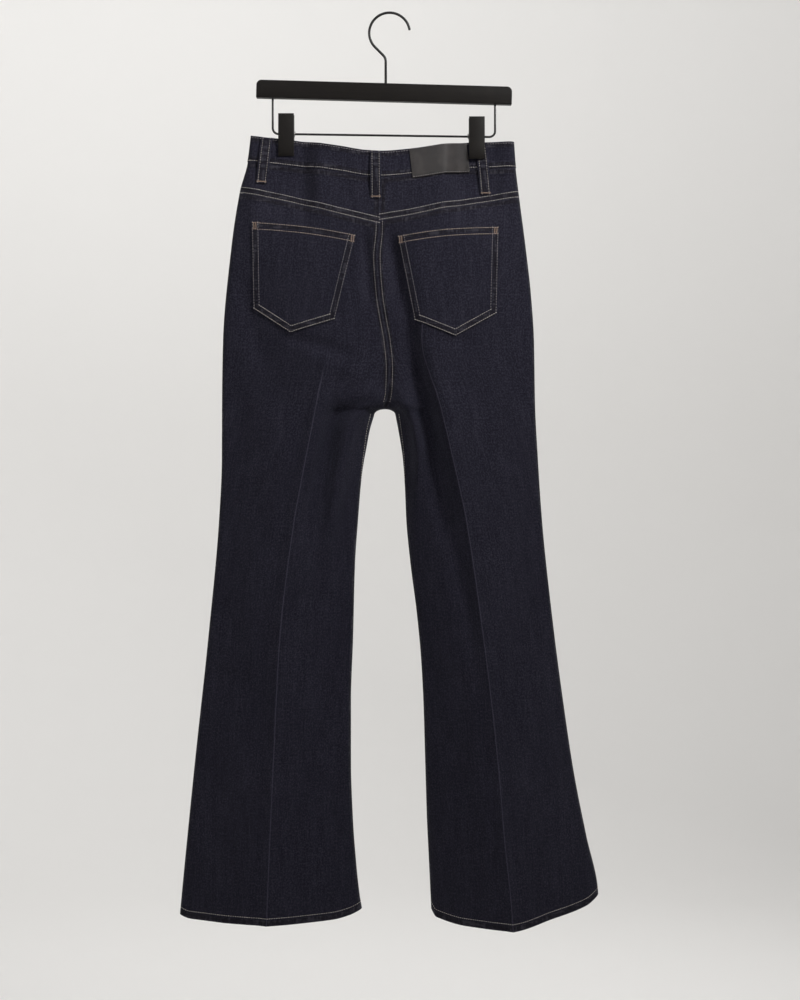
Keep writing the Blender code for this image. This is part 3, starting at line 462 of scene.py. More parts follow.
def fine_rows(sections):
    rows = []
    for (outer, inner), (next_outer, next_inner) in zip(sections, sections[1:]):
        count = max(1, round((next_outer - outer) / CLOTH_STEP))
        for share in np.arange(count) / count:
            rows.append((outer + (next_outer - outer) * share, inner + (next_inner - inner) * share))
    return rows + [sections[-1]]


def panel_places(leg, face):
    """Across and down for each point of a leg panel."""
    top_edge = YOKE_SEAMS[leg] if face == "back" else WAIST_FRONT
    lowered = 0.5 * SEAM_GAP + (0 if face == "back" else BAND_WIDTH)
    hem = float(np.mean(list(zip(*HEMS[leg]))[1]))
    shoulder = hem - HEM_WIDTH - HEM_SHOULDER
    sections = (BACK_ROWS if face == "back" else FRONT_ROWS) + ((shoulder, shoulder),)
    rows = fine_rows(sections) + [(hem - rise, hem - rise) for rise in HEM_RISES]
    share = ease((np.arange(COLUMN_COUNT) - CREASE_COLUMN) / (COLUMN_COUNT - 1 - CREASE_COLUMN))
    bases = np.array([outer + (inner - outer) * share for outer, inner in rows])
    across = np.zeros(bases.shape)
    down = bases.copy()
    top_pull = np.clip(1 - (bases - bases[0]) / TOP_FADE, 0, 1)
    hem_pull = np.clip(1 - (bases[-1] - bases) / HEM_FADE, 0, 1)
    for _ in range(SETTLING):
        mouth = 0.0
        if face == "front":
            mouth_top = edge_down(top_edge, across[:, :1]) + lowered
            mouth_top[0] = down[0, 0]
            along = np.clip((down[:, :1] - mouth_top) / MOUTH_DROP, 0, 1)
            mouth = MOUTH_WIDTH * np.cos(0.5 * math.pi * along)
        across = columns_across(leg, down, mouth)
        top = (edge_down(top_edge, across) + lowered - bases[0]) * top_pull
        bottom = (edge_down(HEMS[leg], across) - bases[-1]) * hem_pull
        down = bases + top + bottom
    return across, down


def points_on(leg, face, across, down):
    out = stand_out(leg, face, across, down) + 0.5 * SEAM_GAP
    return np.stack([across, outward(face) * out, -down], axis=-1)


def grid_normals(points, away):
    """Unit normals at the points of a grid, on the side that away names."""
    right = points[:-1, 1:] - points[:-1, :-1]
    below = points[1:, :-1] - points[:-1, :-1]
    right_below = points[1:, 1:] - points[1:, :-1]
    far_below = points[1:, 1:] - points[:-1, 1:]
    faces = np.cross(right, below) + np.cross(right_below, far_below)
    normals = np.zeros(points.shape)
    for rows in (slice(None, -1), slice(1, None)):
        for columns in (slice(None, -1), slice(1, None)):
            normals[rows, columns] += faces
    normals /= np.linalg.norm(normals, axis=-1, keepdims=True)
    return normals if (normals * away).sum() > 0 else -normals


def flatten(normals, axis, chosen):
    """Keeps chosen normals in the plane of a seam, so that both sides of the seam meet squarely."""
    normals[chosen + (axis,)] = 0
    normals[chosen] /= np.linalg.norm(normals[chosen], axis=-1, keepdims=True)


def flatten_ends(normals):
    """Keeps the upper and lower rows' normals level, where seams or hems cut the cloth square."""
    for row in (0, -1):
        flatten(normals, 2, (row, slice(None)))


def lengths_along(points, axis):
    """How far along the cloth each point is from the first one of its row or column."""
    steps = np.linalg.norm(np.diff(points, axis=axis), axis=-1)
    start = np.zeros_like(np.take(steps, [0], axis=axis))
    return np.concatenate([start, np.cumsum(steps, axis=axis)], axis=axis)


def bake_modifiers(obj):
    graph = bpy.context.evaluated_depsgraph_get()
    mesh = bpy.data.meshes.new_from_object(obj.evaluated_get(graph), depsgraph=graph)
    mesh.name = obj.name
    obj.modifiers.clear()
    obj.data = mesh
    return obj


def add_object(name, mesh, finishes):
    for finish in finishes:
        mesh.materials.append(finish)
    obj = bpy.data.objects.new(name, mesh)
    bpy.context.scene.collection.objects.link(obj)
    return obj


def soften(obj, width, segments=2, angle=50):
    """Rounds the edges of a piece, and keeps the result as its mesh."""
    bevel = obj.modifiers.new("softened_edges", "BEVEL")
    bevel.width = width * MM
    bevel.segments = segments
    bevel.limit_method = "ANGLE"
    bevel.angle_limit = math.radians(angle)
    return bake_modifiers(obj)


def cloth_wall(name, outer, inner, finishes, zero=None, pressed=None, edge=CUT_EDGE):
    """A closed wall of cloth between two grids of points, with the weave's own coordinates."""
    rows, columns = outer.shape[:2]
    count = rows * columns
    index = np.arange(count).reshape(rows, columns)
    quads = np.stack([index[:-1, :-1], index[:-1, 1:], index[1:, 1:], index[1:, :-1]], axis=-1)
    quads = quads.reshape(-1, 4)
    around = np.concatenate([index[0, :-1], index[:-1, -1], index[-1, :0:-1], index[:0:-1, 0]])
    after = np.roll(around, -1)
    rim = np.stack([around, after, after + count, around + count], axis=-1)
    points = np.concatenate([outer.reshape(-1, 3), inner.reshape(-1, 3)]) * MM
    mesh = bpy.data.meshes.new(name)
    faces = np.concatenate([quads, quads[:, ::-1] + count, rim])
    mesh.from_pydata(points.tolist(), [], faces.tolist())
    side = np.zeros(len(faces), np.int32)
    side[len(quads) : 2 * len(quads)] = 1
    mesh.polygons.foreach_set("material_index", side)

    across = lengths_along(outer, 1)
    down = lengths_along(outer, 0)
    near = np.minimum(np.minimum(across, across[:, -1:] - across), np.minimum(down, down[-1:] - down))
    column = outer.shape[1] // 2 if zero is None else zero
    u = (across - across[:, column : column + 1]).ravel() * MM
    v = -outer[..., 2].ravel() * MM
    corners = np.zeros(len(mesh.loops), np.int32)
    mesh.loops.foreach_get("vertex_index", corners)
    corners %= count
    weave = mesh.uv_layers.new(name="weave")
    weave.data.foreach_set("uv", np.stack([u[corners], v[corners]], axis=-1).astype(np.float32).ravel())
    crease = np.zeros(outer.shape[:2]) if pressed is None else pressed
    for label, values in (("seam_distance", near * MM), ("pressed", crease)):
        layer = mesh.attributes.new(label, "FLOAT", "POINT")
        layer.data.foreach_set("value", np.tile(values.ravel(), 2).astype(np.float32))

    made = bmesh.new()
    made.from_mesh(mesh)
    bmesh.ops.recalc_face_normals(made, faces=made.faces)
    made.to_mesh(mesh)
    made.free()
    mesh.shade_smooth()
    obj = soften(add_object(f"{name}_cloth", mesh, finishes), edge)
    obj.data.set_sharp_from_angle(angle=math.radians(55))
    return obj


class Value:
    """A number that varies over a surface. Arithmetic on it adds Math nodes."""

    def __init__(self, graph, socket):
        self.graph = graph
        self.socket = socket

    def maths(self, operation, *items):
        return self.graph.node("ShaderNodeMath", {"operation": operation}, dict(enumerate(items)))

    def __add__(self, other):
        return self.maths("ADD", self, other)

    __radd__ = __add__

    def __sub__(self, other):
        return self.maths("SUBTRACT", self, other)

    def __rsub__(self, other):
        return self.maths("SUBTRACT", other, self)

    def __mul__(self, other):
        return self.maths("MULTIPLY", self, other)

    __rmul__ = __mul__

    def __truediv__(self, other):
        return self.maths("DIVIDE", self, other)

    def sine(self):
        return self.maths("SINE", self)

    def size(self):
        return self.maths("ABSOLUTE", self)

    def between(self, low, high):
        """0 below low, 1 above high, and a smooth rise from one to the other."""
        values = {"Value": self, "From Min": low, "From Max": high}
        return self.graph.node("ShaderNodeMapRange", {"interpolation_type": "SMOOTHSTEP"}, values)


class Graph:
    """A node tree under construction."""

    def __init__(self, tree):
        self.tree = tree

    def node(self, kind, settings, values, output=0):
        """Adds a node: its settings first, then the values or links of its sockets."""
        made = self.tree.nodes.new(kind)
        for name, setting in settings.items():
            setattr(made, name, setting)
        for name, value in values.items():
            self.join(value, made.inputs[name])
        return Value(self, made.outputs[output])

    def join(self, value, socket):
        if isinstance(value, Value):
            self.tree.links.new(value.socket, socket)
        else:
            socket.default_value = value


class Finish(Graph):
    """A material under construction, with its shader's constants set."""

    def __init__(self, name, constants):
        self.material = bpy.data.materials.new(name)
        self.material.use_nodes = True
        super().__init__(self.material.node_tree)
        self.shader = self.tree.nodes["Principled BSDF"]
        for socket, value in constants.items():
            self.shader.inputs[socket].default_value = value

    def feed(self, socket, value):
        self.join(value, self.shader.inputs[socket])

    def place(self):
        return self.node("ShaderNodeTexCoord", {}, {}, "Object")

    def noise(self, vector, scale, detail=2.0, roughness=0.5):
        values = {"Vector": vector, "Scale": scale, "Detail": detail, "Roughness": roughness}
        return self.node("ShaderNodeTexNoise", {}, values)

    def vector(self, x, y, z=0.0):
        return self.node("ShaderNodeCombineXYZ", {}, {0: x, 1: y, 2: z})

    def mix(self, share, first, second):
        values = {0: share}
        for socket, colour in ((6, first), (7, second)):
            values[socket] = (*colour, 1) if isinstance(colour, tuple) else colour
        return self.node("ShaderNodeMix", {"data_type": "RGBA"}, values, 2)

    def bump(self, height, distance, strength=1.0):
        values = {"Height": height, "Distance": distance, "Strength": strength}
        self.feed("Normal", self.node("ShaderNodeBump", {}, values))


INDIGO = (0.0042, 0.0038, 0.0104)
INDIGO_PALE = (0.061, 0.058, 0.088)
# Pale of worn seam edges, also used for painted highlights on the crests of seam puckers.
SEAM_WEAR_AND_HIGHLIGHT = (0.062, 0.060, 0.076)
# Painted shade for the band between a seam's rows of stitching.
SEAM_PAINTED_SHADE = (0.0050, 0.0035, 0.0045)
TWILL_PITCH = 0.95
TWILL_SLOPE = 0.55
WEFT = (0.30, 0.31, 0.33)
REVERSE_INDIGO = (0.06, 0.066, 0.095)
PRESS_LINE = 1.3


def weave_coordinates(finish):
    """The cloth's own across and down, in millimetres."""
    weave = finish.node("ShaderNodeUVMap", {"uv_map": "weave"}, {})
    split = finish.node("ShaderNodeSeparateXYZ", {}, {0: weave})
    across = split * 1000.0
    down = Value(finish, split.socket.node.outputs["Y"]) * 1000.0
    return across, down


def stored(finish, name):
    return finish.node("ShaderNodeAttribute", {"attribute_name": name}, {}, "Fac")


def twill_of(finish, across, down, turned=1.0):
    """The fine diagonal ribs of a twill weave, slightly wavering."""
    waver = finish.noise(finish.vector(across * 0.12, down * 0.12), 1.0) * 1.1
    along = (across + turned * TWILL_SLOPE * down) / TWILL_PITCH + waver
    return (along * (2 * math.pi)).sine() * 0.5 + 0.5


def seam_puckers(finish, across, down):
    """Ripples that run across a seam, whichever way the seam runs."""
    level = finish.noise(finish.vector(across * 0.23, down * 0.035), 1.0, 2.0, 0.5)
    upright = finish.noise(finish.vector(across * 0.035 + 9.0, down * 0.23), 1.0, 2.0, 0.5)
    return level * 0.5 + upright * 0.5


def denim_face():
    """The right side: indigo warp in ribs, with uneven yarns and pale flecks of weft between."""
    finish = Finish("raw_indigo_denim", {
        "Roughness": 0.9, "Specular IOR Level": 0.22, "Sheen Weight": 0.06, "Sheen Roughness": 0.5,
        "Sheen Tint": (0.62, 0.66, 0.85, 1),
    })
    across, down = weave_coordinates(finish)
    twill = twill_of(finish, across, down)
    yarn = finish.noise(finish.vector(across * 0.5, down * 0.03), 1.0, 3.0, 0.66)
    band = finish.noise(finish.vector(across * 0.09, down * 0.006), 1.0, 2.0, 0.5)
    weft = finish.noise(finish.vector(across * 0.05, down * 0.6), 1.0, 2.0, 0.6)
    grain = finish.noise(finish.vector(across * 0.48, down * 0.36), 1.0, 3.0, 0.75)
    cast = finish.noise(finish.vector(across * 0.016, down * 0.009), 1.0, 3.0, 0.55)
    near = stored(finish, "seam_distance") * 1000.0
    worn = (1.0 - near.between(0.2, 2.2)) * grain.between(0.42, 0.7)
    ridge = 1.0 - (across.size() / PRESS_LINE).between(0.0, 1.0)
    ridge = ridge * stored(finish, "pressed") * (grain * 0.5 + 0.6)
    fleck = yarn.between(0.4, 0.68) * 0.10 + weft.between(0.48, 0.72) * 0.06
    fleck = fleck + grain.between(0.45, 0.63) * (twill * 0.18 + 0.17) + band.between(0.4, 0.65) * 0.03
    fleck = fleck * (cast * 1.0 + 0.5) + 0.01
    colour = finish.mix(fleck, INDIGO, INDIGO_PALE)
    colour = finish.mix(worn * 0.35, colour, SEAM_WEAR_AND_HIGHLIGHT)
    strip = near.between(0.8, 2.4) * (1.0 - near.between(6.6, 8.4))
    pucker = seam_puckers(finish, across, down)
    # Painted shade darkens the band between a seam's rows, and painted highlights pale the crests of its
    # puckers.
    colour = finish.mix(strip * 0.5, colour, SEAM_PAINTED_SHADE)
    colour = finish.mix(strip * pucker.between(0.5, 0.6) * 0.42, colour, SEAM_WEAR_AND_HIGHLIGHT)
    colour = finish.mix(ridge * 0.7, colour, INDIGO_PALE)
    finish.feed("Base Color", colour)
    finish.feed("Roughness", 0.94 - fleck * 0.25)
    felled = 1.0 - near.between(8.6, 10.2)
    height = twill * 0.10 + yarn * 0.22 + grain * 0.16 + felled * 0.32
    height = height + (pucker - 0.5) * (1.0 - near.between(6.0, 15.0)) * 2.6
    finish.bump(height, 0.001)
    return finish.material


def denim_reverse():
    """The wrong side, where the undyed weft shows between the indigo yarns."""
    finish = Finish("denim_wrong_side", {
        "Roughness": 0.92, "Specular IOR Level": 0.2, "Sheen Weight": 0.1, "Sheen Roughness": 0.5,
    })
    across, down = weave_coordinates(finish)
    twill = twill_of(finish, across, down, -1.0)
    grain = finish.noise(finish.vector(across * 0.8, down * 0.8), 1.0, 3.0, 0.65)
    cast = finish.noise(finish.vector(across * 0.02, down * 0.02), 1.0)
    share = grain.between(0.35, 0.7) * 0.45 + twill * 0.4 + cast * 0.2
    finish.feed("Base Color", finish.mix(share, REVERSE_INDIGO, WEFT))
    finish.bump(twill * 0.12 + grain * 0.2, 0.001)
    return finish.material


DENIM_FINISHES = (denim_face(), denim_reverse())
MADE = {}


def in_place(obj, node):
    """Says which solid a piece stands for, hangs it from the root and hides that solid."""
    MADE[node] = obj
    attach(obj, "root")
    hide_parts(node)


def leg_panel(leg, face):
    name = f"{face}_panel_{leg}"
    across, down = panel_places(leg, face)
    points = points_on(leg, face, across, down)
    normals = grid_normals(points, np.array([0, outward(face), 0]))
    rows = len(down)
    seam_rows = np.flatnonzero(np.abs(points[:, 0, 1]) < SEAM_GAP)
    above = np.flatnonzero(down[:, -1] <= FORK_DOWN)
    below = np.flatnonzero(down[:, -1] >= FORK_DOWN)
    flatten(normals, 1, (seam_rows, 0))
    flatten(normals, 0, (above, -1))
    flatten(normals, 1, (below, -1))
    flatten_ends(normals)
    thickness = np.full((rows, 1, 1), DENIM_WALL)
    thickness[-len(HEM_RISES) :] = HEM_WALL
    first, full = PRESSED_FROM[leg]
    pressed = ease((down - first) / (full - first))
    inner = points - normals * thickness
    obj = cloth_wall(name, points, inner, DENIM_FINISHES, CREASE_COLUMN, pressed)
    in_place(obj, name)


for leg_name in LEGS:
    for face_name in ("back", "front"):
        leg_panel(leg_name, face_name)

# Yokes: the two shaped pieces of denim between the waistband and the back panels. They lap the
# panels in a felled seam and give the seat its shape.

YOKE_ROWS = 12

# Roughly how far down the yoke is: its rows settle from there.
YOKE_DOWN = 220.0


def yoke(leg):
    down = np.full((YOKE_ROWS, COLUMN_COUNT), YOKE_DOWN)
    shares = np.linspace(0, 1, YOKE_ROWS)[:, None]
    for _ in range(SETTLING):
        across = columns_across(leg, down)
        top = edge_down(WAIST_BACK, across) + BAND_WIDTH + 0.5 * SEAM_GAP
        foot = edge_down(YOKE_SEAMS[leg], across) - 0.5 * SEAM_GAP
        down = top + (foot - top) * shares
    points = points_on(leg, "back", across, down)
    normals = grid_normals(points, np.array([0, -1, 0]))
    flatten(normals, 1, (slice(None), 0))
    flatten(normals, 0, (slice(None), -1))
    flatten_ends(normals)
    name = f"yoke_{leg}"
    obj = cloth_wall(name, points, points - normals * DENIM_WALL, DENIM_FINISHES)
    in_place(obj, name)


for leg_name in LEGS:
    yoke(leg_name)

# Waistband: one straight strip of denim folded double, sewn over the top of the yokes and fronts
# from one edge of the fly round the back to the other. The clips grip it.

BAND_WALL = 2.6
BAND_PROUD = 0.6
BAND_ROWS = (0, 1.2, 2.6, 8, 13, 18, 23, 28, 33.2, 34.6, BAND_WIDTH - SEAM_GAP)
WAIST_DOWN = 200.0


def waistband():
    parts = []
    for leg, face in (("left", "front"), ("left", "back"), ("right", "back"), ("right", "front")):
        edge = WAIST_BACK if face == "back" else WAIST_FRONT
        down = np.full((len(BAND_ROWS), COLUMN_COUNT), WAIST_DOWN)
        for _ in range(SETTLING):
            across = columns_across(leg, down)
            down = edge_down(edge, across) + np.array(BAND_ROWS)[:, None]
        points = points_on(leg, face, across, down)
        outer_first = (leg, face) in (("left", "back"), ("right", "front"))
        parts.append(points if outer_first else points[:, ::-1])
    parts[2] = parts[2][:, 1:]
    band = np.concatenate(parts, axis=1)
    normals = grid_normals(band, band - band.mean(axis=(0, 1)))
    for column in (0, -1):
        flatten(normals, 0, (slice(None), column))
    flatten_ends(normals)
    outer = band + normals * BAND_PROUD
    inner = band - normals * (BAND_WALL - BAND_PROUD)
    face, _ = DENIM_FINISHES
    obj = cloth_wall("waistband", outer, inner, (face, face), edge=0.7)
    in_place(obj, "waistband")
    return outer, normals


band_outer, band_normals = waistband()

# Pocket facings: the denim that shows inside the curved mouths of the front pockets, sewn to the
# pocket bags behind the front panels.

FACING_OVERLAP = 18.0
FACING_INSET = 3.7
FACING_WALL = 1.0
FACING_COLUMNS = 22
FACING_ROWS = 19


def pocket_facing(leg):
    reach = np.linspace(0, 1, FACING_COLUMNS)
    reach = FOLD_RADIUS + (MOUTH_WIDTH + FACING_OVERLAP - FOLD_RADIUS) * reach
    reach = np.concatenate([FOLD_RADIUS * TURN[:-1], reach])
    shares = np.linspace(0, 1, FACING_ROWS)[:, None]
    down = np.full((FACING_ROWS, len(reach)), YOKE_DOWN)
    for _ in range(SETTLING):
        across = leg_value(leg, "outseam", down) + towards_middle(leg) * reach
        top = edge_down(WAIST_FRONT, across) + BAND_WIDTH + 0.5 * SEAM_GAP
        down = top + shares * (MOUTH_DROP + FACING_OVERLAP)
    points = points_on(leg, "front", across, down)
    normals = grid_normals(points, np.array([0, 1, 0]))
    flatten(normals, 1, (slice(None), 0))
    flatten(normals, 2, (0, slice(None)))
    outer = points - normals * FACING_INSET
    name = f"pocket_facing_{leg}"
    obj = cloth_wall(name, outer, outer - normals * FACING_WALL, DENIM_FINISHES)
    in_place(obj, name)


for leg_name in LEGS:
    pocket_facing(leg_name)

# Back pockets: two five-sided patch pockets of denim, their top edges turned in and double
# stitched, sewn flat onto the back panels.

POCKET_WALL = 1.3
LAID_GAP = 0.35
RAY_REACH = 0.4
POCKET_CORNERS = ("top_outer", "top_inner", "foot_inner", "point", "foot_outer")
POCKETS = {
    "left": ((-188.5, 287.5), (-46, 307), (-74, 423), (-135, 441), (-186.5, 407)),
    "right": ((149.5, 294.5), (11, 308), (34, 424), (90, 446), (146.5, 414)),
}
POCKET_TOP_BOW = 2.5
POCKET_COLUMNS = 34
POCKET_ROWS = 30
POCKET_MOUTH_LIFT = 0.9
POCKET_MOUTH_FADE = 0.2


class Resting:
    """Finds where something laid on the garment rests, by rays onto the pieces that are made."""

    def __init__(self, names, face):
        self.side = outward(face)
        self.trees = []
        for name in names:
            mesh = MADE[name].data
            mesh.calc_loop_triangles()
            points = [v.co[:] for v in mesh.vertices]
            triangles = [t.vertices[:] for t in mesh.loop_triangles]
            self.trees.append(BVHTree.FromPolygons(points, triangles))

    def hit(self, across, down):
        """The outermost point and its normal, or nothing."""
        start = Vector((across * MM, self.side * RAY_REACH, -down * MM))
        inwards = Vector((0, -self.side, 0))
        found = [tree.ray_cast(start, inwards, RAY_REACH) for tree in self.trees]
        found = [f for f in found if f[0] is not None]
        if not found:
            return None
        place, normal, _, _ = max(found, key=lambda f: self.side * f[0].y)
        normal = normal if normal.y * self.side > 0 else -normal
        return place / MM, normal

    def out(self, across, down, spread):
        """The furthest that the pieces stand out within a small spread round a point."""
        best = 0.0
        for dx, dz in ((0, 0), (spread, 0), (-spread, 0), (0, spread), (0, -spread)):
            found = self.hit(across + dx, down + dz)
            if found:
                best = max(best, self.side * found[0].y)
        return best


def eased(grid, times):
    """Evens out a grid of heights without lowering it."""
    for _ in range(times):
        padded = np.pad(grid, 1, mode="edge")
        around = padded[:-2, 1:-1] + padded[2:, 1:-1] + padded[1:-1, :-2] + padded[1:-1, 2:]
        grid = np.maximum(grid, 0.25 * around)
    return grid


def laid(name, across, down, face, names, thickness, finishes, spread=1.5, lift=0, edge=CUT_EDGE):
    """A piece that lies on others: its inner points are theirs moved out by a gap."""
    rest = Resting(names, face)
    out = np.array([[rest.out(x, z, spread) for x, z in zip(*pair)] for pair in zip(across, down)])
    out = eased(out, 2) + LAID_GAP + lift
    inner = np.stack([across, outward(face) * out, -down], axis=-1)
    outer = np.stack([across, outward(face) * (out + thickness), -down], axis=-1)
    return cloth_wall(name, outer, inner, finishes, edge=edge)


def back_pocket(leg):
    corner = {name: np.array(place) for name, place in zip(POCKET_CORNERS, POCKETS[leg])}
    foot_out, foot_in, point = corner["foot_outer"], corner["foot_inner"], corner["point"]
    turn = float((point[0] - foot_out[0]) / (foot_in[0] - foot_out[0]))
    shares = np.linspace(0, 1, POCKET_COLUMNS + 1)
    shares[np.argmin(np.abs(shares - turn))] = turn
    bow = np.stack([0 * shares, POCKET_TOP_BOW * np.sin(math.pi * shares)], axis=-1)
    head = corner["top_outer"] + (corner["top_inner"] - corner["top_outer"]) * shares[:, None] - bow
    first = foot_out + (point - foot_out) * (shares / turn)[:, None]
    second = point + (foot_in - point) * ((shares - turn) / (1 - turn))[:, None]
    foot = np.where((shares <= turn)[:, None], first, second)
    along = np.linspace(0, 1, POCKET_ROWS + 1)
    places = head[None] + (foot - head)[None] * along[:, None, None]
    mouth = np.sin(math.pi * shares)[None] * (1 - ease(along / POCKET_MOUTH_FADE))[:, None]
    name = f"back_pocket_{leg}"
    obj = laid(
        name, places[..., 0], places[..., 1], "back", [f"back_panel_{leg}"], POCKET_WALL,
        DENIM_FINISHES, lift=POCKET_MOUTH_LIFT * mouth,
    )
    in_place(obj, name)


for leg_name in LEGS:
    back_pocket(leg_name)

# Belt loops: five strips of denim folded in three, sewn at the band's top edge and again below
# its lower edge, and bowed a little between. One of them passes under the right-hand clip.

LOOP_WIDTH = 15.0
LOOP_WALL = 1.6
LOOP_COLUMNS = ("face", "top_across", "foot_across", "foot_below")
LOOPS = {
    "back_left": ("back", -168.5, -175.5, 27),
    "back_centre": ("back", -19, -18.5, 29),
    "back_right": ("back", 125.5, 132, 36),
    "front_left": ("front", -89, -90, 26),
    "front_right": ("front", 67, 68, 26),
}
LOOP_RISE = 2.2
LOOP_FREE = 10.0
EDGE_INSET = 0.5
CLIP_HEIGHT = 58.5
LOOP_POINTS_DOWN = 33
LOOP_POINTS_ACROSS = 9


def loop_of(name):
    """A loop's row with its column names, and how far down its ends are."""
    loop = dict(zip(LOOP_COLUMNS, LOOPS[name]))
    edge = WAIST_BACK if loop["face"] == "back" else WAIST_FRONT
    loop["top"] = float(edge_down(edge, loop["top_across"])) + EDGE_INSET
    loop["length"] = BAND_WIDTH + loop["foot_below"]
    loop["foot"] = loop["top"] + loop["length"]
    return loop


def belt_loop(name):
    loop = loop_of(name)
    face = loop["face"]
    along = np.linspace(0, 1, LOOP_POINTS_DOWN)
    centre = loop["top_across"] + (loop["foot_across"] - loop["top_across"]) * along
    sides = np.linspace(-0.5, 0.5, LOOP_POINTS_ACROSS)
    across = centre[:, None] + sides[None, :] * LOOP_WIDTH
    down = np.repeat((loop["top"] + along * loop["length"])[:, None], len(sides), axis=1)
    lift = LOOP_RISE * np.sin(math.pi * along)[:, None] ** 2
    if name == "back_right":
        lift = lift * ease((down - CLIPS["right"][1] - CLIP_HEIGHT) / LOOP_FREE)
    names = ["waistband"]
    for leg in LEGS:
        names += [f"yoke_{leg}", f"back_panel_{leg}"] if face == "back" else [f"front_panel_{leg}"]
    denim, _ = DENIM_FINISHES
    node = f"belt_loop_{name}"
    obj = laid(
        node, across, down, face, names, LOOP_WALL, (denim, denim), spread=3, lift=lift, edge=0.6
    )
    cut = (LOOP_WIDTH * MM, loop["length"] * MM)
    in_place(obj, node)


for loop_name in LOOPS:
    belt_loop(loop_name)

# Leather patch: a plain rectangle of smooth black leather, sewn over the waistband between the
# centre loop and the right-hand clip.

PATCH_WALL = 1.2
PATCH_LEFT = (27.0, 31.5)
PATCH_RIGHT = (106.0, 110.5)
PATCH_HEIGHT = 40.0
PATCH_DROP = 0.4
PATCH_COLUMNS = 20
PATCH_ROWS = 12
LEATHER = (0.0122, 0.0096, 0.0094)
LEATHER_WORN = (0.044, 0.036, 0.035)


def patch_place(share, below):
    """A point of the patch, from its share across and its distance below the top edge."""
    head = PATCH_LEFT[0] + (PATCH_RIGHT[0] - PATCH_LEFT[0]) * share
    foot = PATCH_LEFT[1] + (PATCH_RIGHT[1] - PATCH_LEFT[1]) * share
    across = head + (foot - head) * below / PATCH_HEIGHT
    return across, edge_down(WAIST_BACK, head) + PATCH_DROP + below


def black_leather():
    finish = Finish("black_leather", {
        "Roughness": 0.5, "Specular IOR Level": 0.5, "Coat Weight": 0.06, "Coat Roughness": 0.35,
    })
    place = finish.place()
    pebble = finish.node(
        "ShaderNodeTexVoronoi", {"feature": "DISTANCE_TO_EDGE"}, {"Vector": place, "Scale": 1300.0}
    )
    fine = finish.noise(place, 2400.0, 3.0, 0.6)
    cloud = finish.noise(place, 42.0, 2.0)
    rub = cloud.between(0.42, 0.72)
    finish.feed("Base Color", finish.mix(rub * 0.55 + fine * 0.15, LEATHER, LEATHER_WORN))
    finish.feed("Roughness", 0.42 + cloud * 0.16 + fine * 0.08)
    finish.bump(pebble.between(0.0, 0.22) * 0.5 + fine * 0.25, 0.0003)
    return finish.material


def leather_patch():
    shares = np.linspace(0, 1, PATCH_COLUMNS)
    shares, below = np.meshgrid(shares, np.linspace(0, PATCH_HEIGHT, PATCH_ROWS))
    across, down = patch_place(shares, below)
    leather = black_leather()
    obj = laid(
        "leather_patch", across, down, "back", ["waistband", "yoke_right"], PATCH_WALL,
        (leather, leather), spread=2, edge=0.35,
    )
    in_place(obj, "leather_patch")


leather_patch()

# Fly front: a narrow strip of denim with a curved foot, which laps the centre seam, covers the zip
# and is sewn down on the left front in two rows of tan thread.

FLY_WIDTH = 38.0
FLY_LENGTH = 165.0
FLY_WALL = 1.2
FLY_TOP = -20
FLY_DROP = 1.5
FLY_LAP = 2
FLY_CURVE = 0.72
FLY_LAST = 0.02
FLY_ROWS = 40
FLY_COLUMNS = 10


def fly_place(along, inset):
    """A point on the fly's curved outer edge, or inset from it towards the seam."""
    top = float(edge_down(WAIST_FRONT, FLY_TOP)) + BAND_WIDTH + FLY_DROP
    down = top + FLY_LENGTH * along
    lower = np.maximum(0, (along - FLY_CURVE) / (1 - FLY_CURVE))
    width = FLY_WIDTH * np.sqrt(np.maximum(FLY_LAST, 1 - lower**2))
    return centre_value("across", down) + FLY_LAP - np.maximum(width - inset, 0), down


def fly():
    rows = 1 - (1 - np.linspace(0, 1, FLY_ROWS)) ** 1.4
    shares = np.linspace(0, 1, FLY_COLUMNS)
    edge, down = fly_place(rows, 0)
    seam = centre_value("across", down) + FLY_LAP
    across = edge[:, None] + (seam - edge)[:, None] * shares
    down = np.repeat(down[:, None], len(shares), axis=1)
    panels = ["front_panel_left", "front_panel_right"]
    obj = laid("fly", across, down, "front", panels, FLY_WALL, DENIM_FINISHES, spread=2)
    in_place(obj, "fly")


fly()

# Waist button: a shank button of antiqued brass, a domed rim round a sunk plain face, pressed
# through the waistband at the top of the fly.

BUTTON_RADIUS = 8.5
BUTTON_HEIGHT = 3.2
BUTTON_OFFSET = 12.0
BRASS = (0.34, 0.235, 0.115)
BRASS_DARK = (0.045, 0.035, 0.025)
BUTTON_PROFILE = (
    (0.0, 0.0), (0.60, 0.0), (0.88, 0.08), (1.0, 0.22), (1.0, 0.55), (0.97, 0.80), (0.91, 0.95),
    (0.84, 1.0), (0.77, 0.96), (0.72, 0.84), (0.66, 0.74), (0.60, 0.72), (0.40, 0.74), (0.18, 0.80),
    (0.12, 0.86), (0.05, 0.88), (0.0, 0.88),
)


def turned_mesh(name, profile, segments, place, facing):
    """A round shape from (radius, height) pairs in millimetres, turned to face one way."""
    made = bmesh.new()
    line = [made.verts.new((radius, 0, height)) for radius, height in profile]
    edges = [made.edges.new(pair) for pair in zip(line, line[1:])]
    bmesh.ops.spin(
        made, geom=line + edges, cent=(0, 0, 0), axis=(0, 0, 1), angle=2 * math.pi, steps=segments,
    )
    bmesh.ops.remove_doubles(made, verts=made.verts, dist=1e-4)
    bmesh.ops.recalc_face_normals(made, faces=made.faces)
    turn = Vector(facing).to_track_quat("Z", "Y").to_matrix()
    for vertex in made.verts:
        vertex.co = (turn @ vertex.co + Vector(place)) * MM
    mesh = bpy.data.meshes.new(name)
    made.to_mesh(mesh)
    made.free()
    mesh.shade_smooth()
    mesh.set_sharp_from_angle(angle=math.radians(50))
    return mesh


